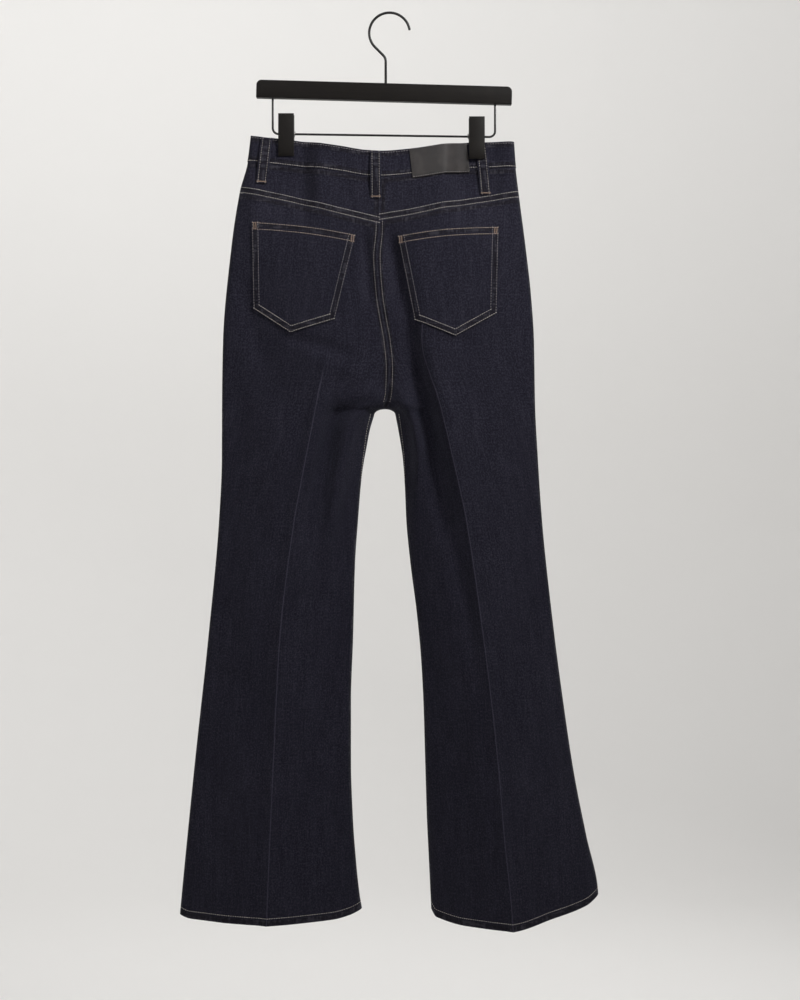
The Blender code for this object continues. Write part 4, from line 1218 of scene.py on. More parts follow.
def antique_brass():
    finish = Finish("antique_brass", {"Metallic": 1.0, "Roughness": 0.38})
    place = finish.place()
    patina = finish.noise(place, 320.0, 4.0, 0.6)
    fine = finish.noise(place, 2600.0, 2.0)
    dark = patina.between(0.42, 0.66)
    finish.feed("Base Color", finish.mix(dark * 0.8, BRASS, BRASS_DARK))
    finish.feed("Roughness", 0.3 + dark * 0.22 + fine * 0.1)
    finish.bump(fine * 0.2 + patina * 0.3, 0.0002)
    return finish.material


button_across = float(centre_value("across", WAIST_DOWN)) - BUTTON_OFFSET
button_down = float(edge_down(WAIST_FRONT, button_across)) + 0.5 * BAND_WIDTH
button_out = Resting(["waistband"], "front").out(button_across, button_down, BUTTON_RADIUS)
button_mesh = turned_mesh(
    "waist_button",
    [(radius * BUTTON_RADIUS, height * BUTTON_HEIGHT) for radius, height in BUTTON_PROFILE],
    40, (button_across, button_out + LAID_GAP, -button_down), (0, 1, 0),
)
button = add_object("waist_button_brass", button_mesh, [antique_brass()])
in_place(button, "waist_button")

# Topstitching: thick pale thread in rows about 7 mm apart along the felled seams, pockets, band
# and hems, and tan thread on the pocket mouths and the fly. Each stitch is a separate loop.

ROW_APART = 7.3
PATH_STEP = 1.0

# Kinds of stitch: the pitch along a row, then each stitch's length, width and height.
TOPSTITCH = (3.3, 2.75, 0.8, 0.46)
SUNK_STITCH = (3.6, 2.3, 0.62, 0.38)
SHORT_STITCH = (3.4, 2.0, 0.64, 0.42)
PATCH_STITCH = (3.0, 2.4, 0.5, 0.34)
PATCH_FOOT_STITCH = (3.2, 2.5, 0.5, 0.34)

# Rows of stitches: how far each is from its seam or edge, and where it starts and stops.
BAND_TOP_ROW = 2.4
BAND_FOOT_ROW = 1.9
YOKE_ROW = 0.95
YOKE_SIDE_DOWN = 250
YOKE_MIDDLE = -13
YOKE_ROW_END = 0.6
CENTRE_ROW = 4.3
CENTRE_FRONT_ROWS = (1.1, ROW_APART)
CENTRE_TOP = 289
CENTRE_FRONT_TOP = 389
CENTRE_STOP = FORK_DOWN - 9
POCKET_SIDE_ROWS = (1.3, 1.3 + ROW_APART)
POCKET_MOUTH_ROWS = (1.7, 10.3)
ROW_END = 0.012
MOUTH_ROWS = (1.8, 7.8)
MOUTH_SIDE_DOWN = 212
INSEAM_ROWS = (1.6, 7.6)
INSEAM_TOP = FORK_DOWN + 12
INSEAM_STOP = 1224
FORK_ROW = 4.6
FORK_ROW_LEAST = 0.5
FORK_ROW_TOP = FORK_DOWN + 8
FORK_ROW_STOP = 640
HEM_ROW = 10.2
HEM_ROW_DOWN = 1225
HEM_ROW_END = 0.8
LOOP_ROW = 2.6
FLY_STITCH_ROWS = (2.2, 8.6)
PATCH_ROW = 2.0
PATCH_ROW_FOOT = 3.4
PATCH_FOOT_ROW = 1.2
THREAD_SINK = 0.02
STITCH_WANDER = 0.09
STITCH_UNEVEN = 0.1
THREAD_PALE = (0.68, 0.63, 0.58)
THREAD_TAN = (0.62, 0.49, 0.40)
# The pale thread painted darker, as painted shade on rows that sit lower in the cloth.
THREAD_PAINTED_SHADE = (0.46, 0.43, 0.43)
THREAD_RUST = (0.35, 0.24, 0.18)
THREAD_BLACK = (0.02, 0.02, 0.022)


def open_tree(name, sizes, finish):
    """A new node tree with named inputs: its builder, and the values of the inputs."""
    tree = bpy.data.node_groups.new(name, "GeometryNodeTree")
    sockets = tree.interface
    sockets.new_socket("Geometry", in_out="INPUT", socket_type="NodeSocketGeometry")
    for size in sizes:
        sockets.new_socket(size, in_out="INPUT", socket_type="NodeSocketFloat")
    sockets.new_socket(finish, in_out="INPUT", socket_type="NodeSocketMaterial")
    sockets.new_socket("Geometry", in_out="OUTPUT", socket_type="NodeSocketGeometry")
    graph = Graph(tree)
    entry = tree.nodes.new("NodeGroupInput")
    return graph, {socket.name: Value(graph, socket) for socket in entry.outputs if socket.name}


def close_tree(graph, shape, finish):
    """Ends a tree: its shape made real, shaded smooth and painted."""
    real = graph.node("GeometryNodeRealizeInstances", {}, {"Geometry": shape})
    smooth_shaded = graph.node("GeometryNodeSetShadeSmooth", {}, {"Geometry": real})
    values = {"Geometry": smooth_shaded, "Material": finish}
    painted = graph.node("GeometryNodeSetMaterial", {}, values)
    exit_node = graph.tree.nodes.new("NodeGroupOutput")
    graph.join(painted, exit_node.inputs["Geometry"])
    return graph.tree


def run_tree(obj, tree, sizes):
    """Runs a tree on a piece with the sizes given, and keeps the result as the piece's mesh."""
    modifier = obj.modifiers.new(tree.name, "NODES")
    modifier.node_group = tree
    for socket in tree.interface.items_tree:
        if socket.in_out == "INPUT" and socket.name in sizes:
            modifier[socket.identifier] = sizes[socket.name]
    bake_modifiers(obj)


def stitch_tree():
    """Lays one thread loop after another along every edge path, flat on the cloth."""
    sizes = ("Pitch", "Length", "Width", "Height", "Turn")
    graph, given = open_tree("stitches_along_paths", sizes, "Thread")
    curve = graph.node("GeometryNodeMeshToCurve", {}, {"Mesh": given["Geometry"]})
    resampled = graph.node(
        "GeometryNodeResampleCurve", {"mode": "LENGTH"}, {"Curve": curve, "Length": given["Pitch"]}
    )
    bead = graph.node("GeometryNodeMeshUVSphere", {}, {"Segments": 6, "Rings": 4, "Radius": 0.5})
    tangent = graph.node("GeometryNodeInputTangent", {}, {})
    cloth_normal = graph.node(
        "GeometryNodeInputNamedAttribute", {"data_type": "FLOAT_VECTOR"}, {"Name": "cloth_normal"}
    )
    lying = graph.node(
        "FunctionNodeAxesToRotation", {"primary_axis": "X", "secondary_axis": "Z"},
        {"Primary Axis": tangent, "Secondary Axis": cloth_normal},
    )
    values = {2: -STITCH_WANDER, 3: STITCH_WANDER, "Seed": 7}
    wander = graph.node("FunctionNodeRandomValue", {"data_type": "FLOAT"}, values, 1)
    turn = graph.node("ShaderNodeCombineXYZ", {}, {2: given["Turn"] + wander})
    rotation = graph.node(
        "FunctionNodeRotateRotation", {"rotation_space": "LOCAL"}, {0: lying, 1: turn}
    )
    values = {2: 1 - STITCH_UNEVEN, 3: 1 + STITCH_UNEVEN, "Seed": 11}
    plump = graph.node("FunctionNodeRandomValue", {"data_type": "FLOAT"}, values, 1)
    scale = graph.node(
        "ShaderNodeCombineXYZ", {},
        {0: given["Length"] * plump, 1: given["Width"] * plump, 2: given["Height"]},
    )
    placed = graph.node(
        "GeometryNodeInstanceOnPoints", {},
        {"Points": resampled, "Instance": bead, "Rotation": rotation, "Scale": scale},
    )
    return close_tree(graph, placed, given["Thread"])


def thread(name, colour):
    finish = Finish(name, {
        "Roughness": 0.75, "Specular IOR Level": 0.3, "Sheen Weight": 0.2, "Sheen Roughness": 0.4,
    })
    place = finish.place()
    ply = finish.noise(place, 2100.0, 2.0, 0.6)
    patchy = finish.noise(place, 60.0, 2.0)
    dim = tuple(0.55 * part for part in colour)
    finish.feed("Base Color", finish.mix(ply.between(0.35, 0.65) * 0.7 + patchy * 0.3, dim, colour))
    finish.bump(ply, 0.0003)
    return finish.material


def polyline(corners, step=PATH_STEP):
    """Evenly spaced points along straight runs between corners (across, down)."""
    points = []
    for first, last in zip(corners, corners[1:]):
        first, last = np.array(first, float), np.array(last, float)
        count = max(2, int(np.linalg.norm(last - first) / step))
        points += [first + (last - first) * share for share in np.arange(count) / count]
    return np.array(points + [np.array(corners[-1], float)])


def traced(names, face, places):
    """Paths over the made pieces: runs of points with their normals."""
    rest = Resting(names, face)
    runs = [[]]
    for across, down in places:
        found = rest.hit(across, down)
        if found is None:
            runs.append([])
        else:
            runs[-1].append(found)
    return [run for run in runs if len(run) > 2]


def inset_line(corners, inset):
    """A run of straight lines moved sideways, its corners mitred. A positive inset is to the
    right of the way along it, as the garment is looked at from behind."""
    corners = [np.array(corner, float) for corner in corners]
    moved = []
    for i, corner in enumerate(corners):
        before = corner - corners[i - 1] if i else corners[1] - corner
        after = corners[i + 1] - corner if i + 1 < len(corners) else before
        before = before / np.linalg.norm(before)
        after = after / np.linalg.norm(after)
        aside = np.array([-before[1], before[0]]) + np.array([-after[1], after[0]])
        aside = aside / np.linalg.norm(aside)
        half = math.sqrt(max(0.1, 0.5 * (1 + before @ after)))
        moved.append(corner + aside * inset / half)
    return moved


def paired(across, down):
    return np.stack([across, down], axis=-1)


def thread_piece(name, runs, finish, stitch, turn=0.0):
    """One mesh of stitches of one kind along the runs."""
    pitch, length, width, height = stitch
    points, normals, edges = [], [], []
    for run in runs:
        first = len(points)
        for place, normal in run:
            points.append((Vector(place) + Vector(normal) * (0.5 * height - THREAD_SINK)) * MM)
            normals.append(normal)
        edges += [(i, i + 1) for i in range(first, len(points) - 1)]
    mesh = bpy.data.meshes.new(name)
    mesh.from_pydata([p[:] for p in points], edges, [])
    layer = mesh.attributes.new("cloth_normal", "FLOAT_VECTOR", "POINT")
    layer.data.foreach_set("vector", np.array([n[:] for n in normals], np.float32).ravel())
    obj = add_object(name, mesh, [finish])
    run_tree(obj, STITCHES, {
        "Pitch": pitch * MM, "Length": length * MM, "Width": width * MM, "Height": height * MM,
        "Turn": turn, "Thread": finish,
    })
    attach(obj, "root")


def band_run(below):
    """A row of stitches round the waistband, a distance below its top edge."""
    rows = np.array(BAND_ROWS, float)
    at = int(np.clip(np.searchsorted(rows, below) - 1, 0, len(rows) - 2))
    share = (below - rows[at]) / (rows[at + 1] - rows[at])
    points = band_outer[at] + (band_outer[at + 1] - band_outer[at]) * share
    return [(Vector(p), Vector(n)) for p, n in zip(points, band_normals[at])][2:-2]


STITCHES = stitch_tree()
ROWS = {
    "pale": [band_run(BAND_WIDTH - SEAM_GAP - BAND_FOOT_ROW)],
    "sunk": [band_run(BAND_TOP_ROW)],
    "short": [],
    "tan": [],
}


def stitch_yoke(leg):
    """Two rows just above the yoke's lower seam."""
    outer = float(leg_value(leg, "outseam", YOKE_SIDE_DOWN)) + towards_middle(leg) * YOKE_ROW_END
    across = np.arange(min(outer, YOKE_MIDDLE), max(outer, YOKE_MIDDLE), PATH_STEP)
    for rise in (YOKE_ROW, YOKE_ROW + ROW_APART):
        places = paired(across, edge_down(YOKE_SEAMS[leg], across) - rise)
        ROWS["pale"] += traced([f"yoke_{leg}"], "back", places)


def stitch_centre(leg):
    """A row each side of the seat's seam, and two on the left front below the fly."""
    middle = towards_middle(leg)
    down = np.arange(CENTRE_TOP, CENTRE_STOP, PATH_STEP)
    places = paired(centre_value("across", down) - middle * CENTRE_ROW, down)
    ROWS["short"] += traced([f"back_panel_{leg}"], "back", places)
    if leg == "left":
        down = np.arange(CENTRE_FRONT_TOP, CENTRE_STOP, PATH_STEP)
        for apart in CENTRE_FRONT_ROWS:
            places = paired(centre_value("across", down) - middle * apart, down)
            ROWS["pale"] += traced([f"front_panel_{leg}"], "front", places)


def stitch_pocket(leg):
    """Two rows down the sides and round the foot, and two of tan thread under the mouth."""
    pocket = [f"back_pocket_{leg}"]
    corners = [np.array(place, float) for place in POCKETS[leg]]
    top_outer, top_inner, foot_inner, point, foot_outer = corners
    sides = [top_outer, foot_outer, point, foot_inner, top_inner]
    for inset in POCKET_SIDE_ROWS:
        line = inset_line(sides, -towards_middle(leg) * inset)
        line[0] = line[0] + (line[1] - line[0]) * ROW_END
        line[-1] = line[-1] + (line[-2] - line[-1]) * ROW_END
        for side in (line[:2], line[3:]):
            ROWS["sunk"] += traced(pocket, "back", polyline(side))
        ROWS["pale"] += traced(pocket, "back", polyline(line[1:4]))
    share = np.linspace(ROW_END, 1 - ROW_END, 140)
    for below in POCKET_MOUTH_ROWS:
        line = top_outer + (top_inner - top_outer) * share[:, None]
        line[:, 1] += below - POCKET_TOP_BOW * np.sin(math.pi * share)
        ROWS["tan"] += traced(pocket, "back", line)


def stitch_mouth(leg):
    """Two rows round the curved mouth of the front pocket."""
    angle = np.linspace(0.02, 0.5 * math.pi - 0.01, 160)
    top = edge_down(WAIST_FRONT, leg_value(leg, "outseam", MOUTH_SIDE_DOWN)) + BAND_WIDTH
    for below in MOUTH_ROWS:
        down = top + (MOUTH_DROP + below) * np.sin(angle)
        reach = (MOUTH_WIDTH + below) * np.cos(angle)
        across = leg_value(leg, "outseam", down) + towards_middle(leg) * reach
        down = down + (edge_down(WAIST_FRONT, across) + BAND_WIDTH - top) * np.cos(angle)
        ROWS["pale"] += traced([f"front_panel_{leg}"], "front", paired(across, down))


def stitch_inseam(leg):
    """Two rows down the front of the inseam, and one behind that runs out below the fork."""
    middle = towards_middle(leg)
    down = np.arange(INSEAM_TOP, INSEAM_STOP, PATH_STEP)
    for inset in INSEAM_ROWS:
        places = paired(inner_across(leg, down) - middle * inset, down)
        ROWS["pale"] += traced([f"front_panel_{leg}"], "front", places)
    down = np.arange(FORK_ROW_TOP, FORK_ROW_STOP, PATH_STEP)
    inset = FORK_ROW * (1 - (down - down[0]) / (down[-1] - down[0])) + FORK_ROW_LEAST
    places = paired(inner_across(leg, down) - middle * inset, down)
    ROWS["pale"] += traced([f"back_panel_{leg}"], "back", places)


def stitch_hem(leg):
    """One row round the top of the turned-up hem."""
    inwards = towards_middle(leg) * HEM_ROW_END
    outer = float(leg_value(leg, "outseam", HEM_ROW_DOWN)) + inwards
    inner = float(inner_across(leg, HEM_ROW_DOWN)) - inwards
    across = np.arange(min(outer, inner), max(outer, inner), PATH_STEP)
    for face in ("back", "front"):
        places = paired(across, edge_down(HEMS[leg], across) - HEM_ROW)
        ROWS["pale"] += traced([f"{face}_panel_{leg}"], face, places)


def stitch_loop(name):
    """A row down each side of a belt loop."""
    loop = loop_of(name)
    for side in (-1, 1):
        offset = side * (0.5 * LOOP_WIDTH - LOOP_ROW)
        head = (loop["top_across"] + offset, loop["top"] + 1)
        foot = (loop["foot_across"] + offset, loop["foot"] - 1)
        ROWS["short"] += traced([f"belt_loop_{name}"], loop["face"], polyline([head, foot]))


def stitch_fly():
    """Two rows of tan thread inside the fly's curved edge."""
    along = 1 - (1 - np.linspace(0.0, 0.985, 220)) ** 1.3
    for inset in FLY_STITCH_ROWS:
        across, down = fly_place(along, inset)
        down = down - inset * ease((along - 0.7) / 0.3)
        ROWS["tan"] += traced(["fly"], "front", paired(across, down))


def stitch_patch(black_thread, shaded_pale_thread):
    """Black thread all round the patch, and a row of the garment's pale thread at its foot, painted
    darker as painted shade.
    """
    rim = PATCH_ROW / PATCH_HEIGHT
    low = PATCH_HEIGHT - PATCH_ROW_FOOT
    corners = [(rim, PATCH_ROW), (1 - rim, PATCH_ROW), (1 - rim, low), (rim, low), (rim, PATCH_ROW)]
    around = polyline([patch_place(share, below) for share, below in corners])
    foot = paired(*patch_place(np.linspace(0.03, 0.97, 80), PATCH_HEIGHT - PATCH_FOOT_ROW))
    for name, places, finish, stitch in (
        ("patch_lower_row", foot, shaded_pale_thread, PATCH_FOOT_STITCH),
        ("patch_stitching", around, black_thread, PATCH_STITCH),
    ):
        runs = traced(["leather_patch"], "back", places)
        thread_piece(name, runs, finish, stitch)


for leg_name in LEGS:
    for stitch_seam in (
        stitch_yoke, stitch_centre, stitch_pocket, stitch_mouth, stitch_inseam, stitch_hem
    ):
        stitch_seam(leg_name)
for loop_name in LOOPS:
    stitch_loop(loop_name)
stitch_fly()

pale_thread = thread("pale_topstitch_thread", THREAD_PALE)
tan_thread = thread("tan_topstitch_thread", THREAD_TAN)
# A darker copy of the pale thread: painted shade for the sunk rows and the patch's foot row.
shaded_pale_thread = thread("dim_topstitch_thread", THREAD_PAINTED_SHADE)
thread_piece("topstitching_pale", ROWS["pale"], pale_thread, TOPSTITCH)
thread_piece("topstitching_sunk", ROWS["sunk"], shaded_pale_thread, SUNK_STITCH)
thread_piece("topstitching_short", ROWS["short"], pale_thread, SHORT_STITCH)
thread_piece("topstitching_tan", ROWS["tan"], tan_thread, TOPSTITCH)
stitch_patch(thread("black_patch_thread", THREAD_BLACK), shaded_pale_thread)

# Bar tacks: short bars of close satin stitches that lock the ends of the loops, pocket mouths
# and fly, and the stitched edge of the buttonhole.

TACK_STITCH = (0.62, 2.1, 0.6, 0.5)
BUTTONHOLE_STITCH = (0.62, 2.2, 0.55, 0.45)
TACK_STEP = 0.5
LOOP_TACK_IN = 1.2
LOOP_TACK_RISE = 2.2
POCKET_TACKS = (2.6, 5.4)
POCKET_TACK_LEAN = 0.8
POCKET_TACK_DOWN = (1.6, 10.0)
MOUTH_TACK_IN = (4, 12)
MOUTH_TACK_DOWN = (3.2, 1.6)
FLY_TACK_PLACE = (0.93, 6.0)
FLY_TACK_START = (-1, -6)
FLY_TACK_STOP = (6, -1)
BUTTONHOLE_SHIFT = -4
BUTTONHOLE_HALF = (11.5, 1.9)


def tack(node, face, start, stop):
    return traced([node], face, polyline([start, stop], TACK_STEP))


def loop_tack(name):
    loop = loop_of(name)
    half = 0.5 * LOOP_WIDTH - LOOP_TACK_IN
    across, down = loop["foot_across"], loop["foot"] - LOOP_TACK_RISE
    return tack(f"belt_loop_{name}", loop["face"], (across - half, down), (across + half, down))


def pocket_tacks(leg):
    """Two upright bars at each end of a back pocket's mouth."""
    runs = []
    middle = towards_middle(leg)
    high, low = POCKET_TACK_DOWN
    for corner, inwards in zip(POCKETS[leg][:2], (middle, -middle)):
        for step in POCKET_TACKS:
            start = np.array(corner) + np.array([inwards * step, high])
            stop = np.array(corner) + np.array([inwards * (step + POCKET_TACK_LEAN), low])
            runs += tack(f"back_pocket_{leg}", "back", start, stop)
    return runs


def mouth_tack(leg):
    """One bar where a front pocket's mouth meets the side seam."""
    foot = float(edge_down(WAIST_FRONT, leg_value(leg, "outseam", MOUTH_SIDE_DOWN)))
    foot = foot + BAND_WIDTH + MOUTH_DROP
    side = float(leg_value(leg, "outseam", foot))
    start, stop = (
        (side + towards_middle(leg) * inwards, foot + below)
        for inwards, below in zip(MOUTH_TACK_IN, MOUTH_TACK_DOWN)
    )
    return tack(f"front_panel_{leg}", "front", start, stop)


def fly_tack():
    foot = np.array(fly_place(*FLY_TACK_PLACE))
    return tack("fly", "front", foot + np.array(FLY_TACK_START), foot + np.array(FLY_TACK_STOP))


def buttonhole():
    """Places round the edge of the buttonhole."""
    angles = np.linspace(0, 2 * math.pi, 90)
    long_half, short_half = BUTTONHOLE_HALF
    across = button_across + BUTTONHOLE_SHIFT + long_half * np.cos(angles)
    return paired(across, button_down + short_half * np.sin(angles))


tack_runs = []
for loop_name in LOOPS:
    tack_runs += loop_tack(loop_name)
for leg_name in LEGS:
    tack_runs += pocket_tacks(leg_name) + mouth_tack(leg_name)
tack_runs += fly_tack()
rust_thread = thread("rust_tack_thread", THREAD_RUST)
thread_piece("bar_tacks", tack_runs, rust_thread, TACK_STITCH, 0.5 * math.pi)
hole_runs = traced(["waistband"], "front", buttonhole())
thread_piece(
    "buttonhole_stitching", hole_runs, pale_thread, BUTTONHOLE_STITCH, 0.5 * math.pi
)

# Hanger bar: a flat bar of wood lacquered satin black, its upper corners rounded, from which the
# hook rises and the clip rail hangs.

BAR_LENGTH = 351.5
BAR_HEIGHT = 24.5
BAR_DEPTH = 12.0
BAR_ACROSS = -7.4
BAR_DOWN = 108.3
BAR_TILT = math.radians(1.6)
BAR_CORNER = 7.0
LACQUER = (0.0049, 0.0037, 0.0031)
LACQUER_RUB = (0.0150, 0.0122, 0.0102)


def satin_black(name, scale, stretch, gloss):
    """Black finish with faint long grain, a fine speckle and paler rubbed patches."""
    finish = Finish(name, {"Roughness": gloss, "Specular IOR Level": 0.2})
    place = finish.place()
    grain = finish.noise(
        finish.node("ShaderNodeMapping", {}, {"Vector": place, "Scale": stretch}), scale, 3.0, 0.6
    )
    speckle = finish.noise(place, 1500.0, 2.0)
    rubbed = finish.noise(place, 26.0, 3.0, 0.6).between(0.5, 0.78)
    share = rubbed * 0.35 + grain.between(0.4, 0.75) * 0.22 + speckle * 0.1
    finish.feed("Base Color", finish.mix(share, LACQUER, LACQUER_RUB))
    finish.feed("Roughness", gloss + grain * 0.12 + speckle * 0.08 - 0.1)
    finish.bump(grain * 0.3 + speckle * 0.12, 0.0003)
    return finish.material


def bar_surface(across, upper):
    """How far down the bar's upper or lower face is."""
    middle = BAR_DOWN + (across - BAR_ACROSS) * math.tan(BAR_TILT)
    return middle + (-0.5 if upper else 0.5) * BAR_HEIGHT / math.cos(BAR_TILT)


def drawn_out(name, outline, along):
    """A solid block: an outline of points in millimetres, drawn out along a vector."""
    made = bmesh.new()
    made.faces.new([made.verts.new([part * MM for part in point]) for point in outline])
    drawn = bmesh.ops.extrude_face_region(made, geom=list(made.faces))
    moved = [item for item in drawn["geom"] if isinstance(item, bmesh.types.BMVert)]
    bmesh.ops.translate(made, verts=moved, vec=[part * MM for part in along])
    bmesh.ops.recalc_face_normals(made, faces=made.faces)
    mesh = bpy.data.meshes.new(name)
    made.to_mesh(mesh)
    made.free()
    mesh.shade_smooth()
    return mesh


def hanger_bar():
    half, tall = 0.5 * BAR_LENGTH, 0.5 * BAR_HEIGHT
    outline = [(-half, -tall), (half, -tall)]
    quarter = [math.radians(10 * step) for step in range(10)]
    for side, angles in ((1, quarter), (-1, quarter[::-1])):
        for angle in angles:
            x = half - BAR_CORNER + BAR_CORNER * math.cos(angle)
            outline.append((side * x, tall - BAR_CORNER + BAR_CORNER * math.sin(angle)))
    ring = []
    for x, z in outline:
        across = BAR_ACROSS + x * math.cos(BAR_TILT) + z * math.sin(BAR_TILT)
        up = -BAR_DOWN - x * math.sin(BAR_TILT) + z * math.cos(BAR_TILT)
        ring.append((across, -0.5 * BAR_DEPTH, up))
    mesh = drawn_out("hanger_bar", ring, (0, BAR_DEPTH, 0))
    finish = satin_black("satin_black_lacquer", 60.0, (0.35, 6.0, 6.0), 0.42)
    obj = soften(add_object("hanger_bar_lacquered", mesh, [finish]), 1.3, 4, 30)
    obj.data.set_sharp_from_angle(angle=math.radians(40))
    in_place(obj, "hanger_bar")


hanger_bar()

# Hook: steel wire bent to most of a circle with a straight stem, coated black. The stem screws
# into the middle of the bar and turns in it.

HOOK_WIRE = 3.6
HOOK_RADIUS = 27.9
HOOK_TIP_ANGLE = math.radians(8)
HOOK_TURN = math.radians(217)
STEM_ACROSS = -5.2
STEM_BEND = 5.0
HOOK_STEPS = 60
BEND_STEPS = 10
WIRE_SUNK = 0.6
WIRE_BLACK = (0.012, 0.0115, 0.012)
WIRE_WORN = (0.07, 0.068, 0.066)

# How a wire's cut end is rounded: shares of its thickness from the end, and of its full radius.
WIRE_END = ((0.0, 0.55), (0.06, 0.85), (0.24, 1.0))


def coated_wire():
    finish = Finish("black_coated_wire", {"Metallic": 0.55, "Roughness": 0.36})
    place = finish.place()
    worn = finish.noise(place, 90.0, 3.0, 0.6).between(0.48, 0.72)
    fine = finish.noise(place, 1800.0, 2.0)
    finish.feed("Base Color", finish.mix(worn * 0.5 + fine * 0.2, WIRE_BLACK, WIRE_WORN))
    finish.feed("Roughness", 0.3 + worn * 0.12 + fine * 0.1)
    finish.bump(fine, 0.00012)
    return finish.material


def wire_end(end, inwards, diameter):
    """Points at one end of a wire, between which it is rounded off."""
    along = (inwards - end) / np.linalg.norm(inwards - end)
    return [end + along * far * diameter for far, _ in WIRE_END]


def wire(name, places, diameter, finish):
    """A round wire with rounded ends along places given as (across, down)."""
    places = [np.array(place, float) for place in places]
    first = wire_end(places[0], places[1], diameter)
    last = wire_end(places[-1], places[-2], diameter)[::-1]
    path = first + places[1:-1] + last
    widths = [width for _, width in WIRE_END]
    widths = widths + [1.0] * (len(places) - 2) + widths[::-1]
    curve = bpy.data.curves.new(name, "CURVE")
    curve.dimensions = "3D"
    curve.bevel_depth = 0.5 * diameter * MM
    curve.bevel_resolution = 6
    curve.use_fill_caps = True
    spline = curve.splines.new("POLY")
    spline.points.add(len(path) - 1)
    for point, (across, down), width in zip(spline.points, path, widths):
        point.co = (across * MM, 0, -down * MM, 1)
        point.radius = width
    drawn = add_object(name, curve, [])
    graph = bpy.context.evaluated_depsgraph_get()
    mesh = bpy.data.meshes.new_from_object(drawn.evaluated_get(graph), depsgraph=graph)
    bpy.data.objects.remove(drawn)
    mesh.shade_smooth()
    mesh.set_sharp_from_angle(angle=math.radians(60))
    return add_object(name, mesh, [finish])


def hook_places():
    """Round the hook from its tip, straight across, and down the stem into the bar."""
    centre_down = HOOK_RADIUS - 0.5 * HOOK_WIRE
    places = []
    for step in range(HOOK_STEPS + 1):
        angle = HOOK_TIP_ANGLE + HOOK_TURN * step / HOOK_STEPS
        places.append((HOOK_RADIUS * math.cos(angle), centre_down - HOOK_RADIUS * math.sin(angle)))
    heading = np.array([-math.sin(angle), -math.cos(angle)])
    start = np.array(places[-1])
    corner = start + heading * (STEM_ACROSS - start[0]) / heading[0]
    leaving = corner - heading * STEM_BEND
    arriving = corner + np.array([0, STEM_BEND])
    for t in np.linspace(0, 1, BEND_STEPS + 1):
        places.append(leaving * (1 - t) ** 2 + corner * 2 * t * (1 - t) + arriving * t**2)
    places.append((STEM_ACROSS, bar_surface(STEM_ACROSS, True) + WIRE_SUNK))
    return places


WIRE_FINISH = coated_wire()
hook = wire("hanger_hook_wire", hook_places(), HOOK_WIRE, WIRE_FINISH)
in_place(hook, "hanger_hook")

# Rail: a thinner wire of the same kind, bent down at both ends into the bar. The clips slide on
# its straight run.

RAIL_WIRE = 3.0
RAIL_CORNER = 8.0
RAIL_LEFT = (-160.7, 165.1)
RAIL_RIGHT = (145.2, 169.2)


def rail_down(across):
    (left, left_down), (right, right_down) = RAIL_LEFT, RAIL_RIGHT
    return left_down + (right_down - left_down) * (across - left) / (right - left)


def rail_places():
    """Down from the bar, round a corner, across, and up again at the other end."""
    places = [(RAIL_LEFT[0], bar_surface(RAIL_LEFT[0], False) - WIRE_SUNK)]
    for (x, z), side in ((RAIL_LEFT, 1), (RAIL_RIGHT, -1)):
        corner = []
        for angle in np.radians(np.arange(0, 91, 9)):
            across = x + side * RAIL_CORNER * (1 - math.cos(angle))
            corner.append((across, z - RAIL_CORNER * (1 - math.sin(angle))))
        places += corner[::side]
    places.append((RAIL_RIGHT[0], bar_surface(RAIL_RIGHT[0], False) - WIRE_SUNK))
    return places


rail = wire("hanger_rail_wire", rail_places(), RAIL_WIRE, WIRE_FINISH)
in_place(rail, "hanger_rail")

# Clip jaws: two tapered plates of black plastic to each clip. Pinching their upper ends opens the
# lower ends, which hold the waistband.

CLIP_WIDTH = 21.5
CLIP_WALL = 3.6
JAW_FACE = 4.35
JAW_STEP = 0.9
JAW_LEAN = 1.0


def clip_jaw(which, face, finish):
    across, top = CLIPS[which]
    side = outward(face)
    grip = JAW_FACE
    if (which, face) == ("right", "back"):
        grip = JAW_FACE + LOOP_WALL + LAID_GAP + JAW_STEP
    profile = (
        (JAW_FACE + JAW_LEAN, 0),
        (JAW_FACE, 0.42 * CLIP_HEIGHT),
        (JAW_FACE, 0.52 * CLIP_HEIGHT),
        (grip, 0.62 * CLIP_HEIGHT),
        (grip, CLIP_HEIGHT),
        (grip + 0.6 * CLIP_WALL, CLIP_HEIGHT),
        (grip + CLIP_WALL, 0.9 * CLIP_HEIGHT),
        (0.5 * (grip + JAW_FACE) + CLIP_WALL + 0.6, 0.68 * CLIP_HEIGHT),
        (JAW_FACE + CLIP_WALL + 0.8, 0.45 * CLIP_HEIGHT),
        (JAW_FACE + JAW_LEAN + 0.8 * CLIP_WALL, 0),
    )
    ring = [(across - 0.5 * CLIP_WIDTH, side * y, -(top + z)) for y, z in profile]
    mesh = drawn_out("jaw", ring, (CLIP_WIDTH, 0, 0))
    node = f"clip_{which}_{face}"
    obj = soften(add_object(f"{node}_jaw", mesh, [finish]), 0.45, 3, 35)
    obj.data.set_sharp_from_angle(angle=math.radians(40))
    in_place(obj, node)


jaw_plastic = satin_black("matt_black_plastic", 500.0, (1.0, 1.0, 1.0), 0.5)
for clip_name in CLIPS:
    for clip_face in ("back", "front"):
        clip_jaw(clip_name, clip_face, jaw_plastic)

# Clip springs: a steel sleeve that slides on the rail, with a spring wound round it that keeps
# the jaws shut. The last turn of the spring shows beside the jaws.

SLEEVE_RADIUS = 2.75
SLEEVE_HALF = 8.5
SPRING_RADIUS = 3.45
SPRING_WIRE = 1.15
SPRING_TURNS = 15
SPRING_START = -9.3
SPRING_END = 12.4
STEEL = (0.42, 0.41, 0.40)
STEEL_DARK = (0.12, 0.115, 0.11)


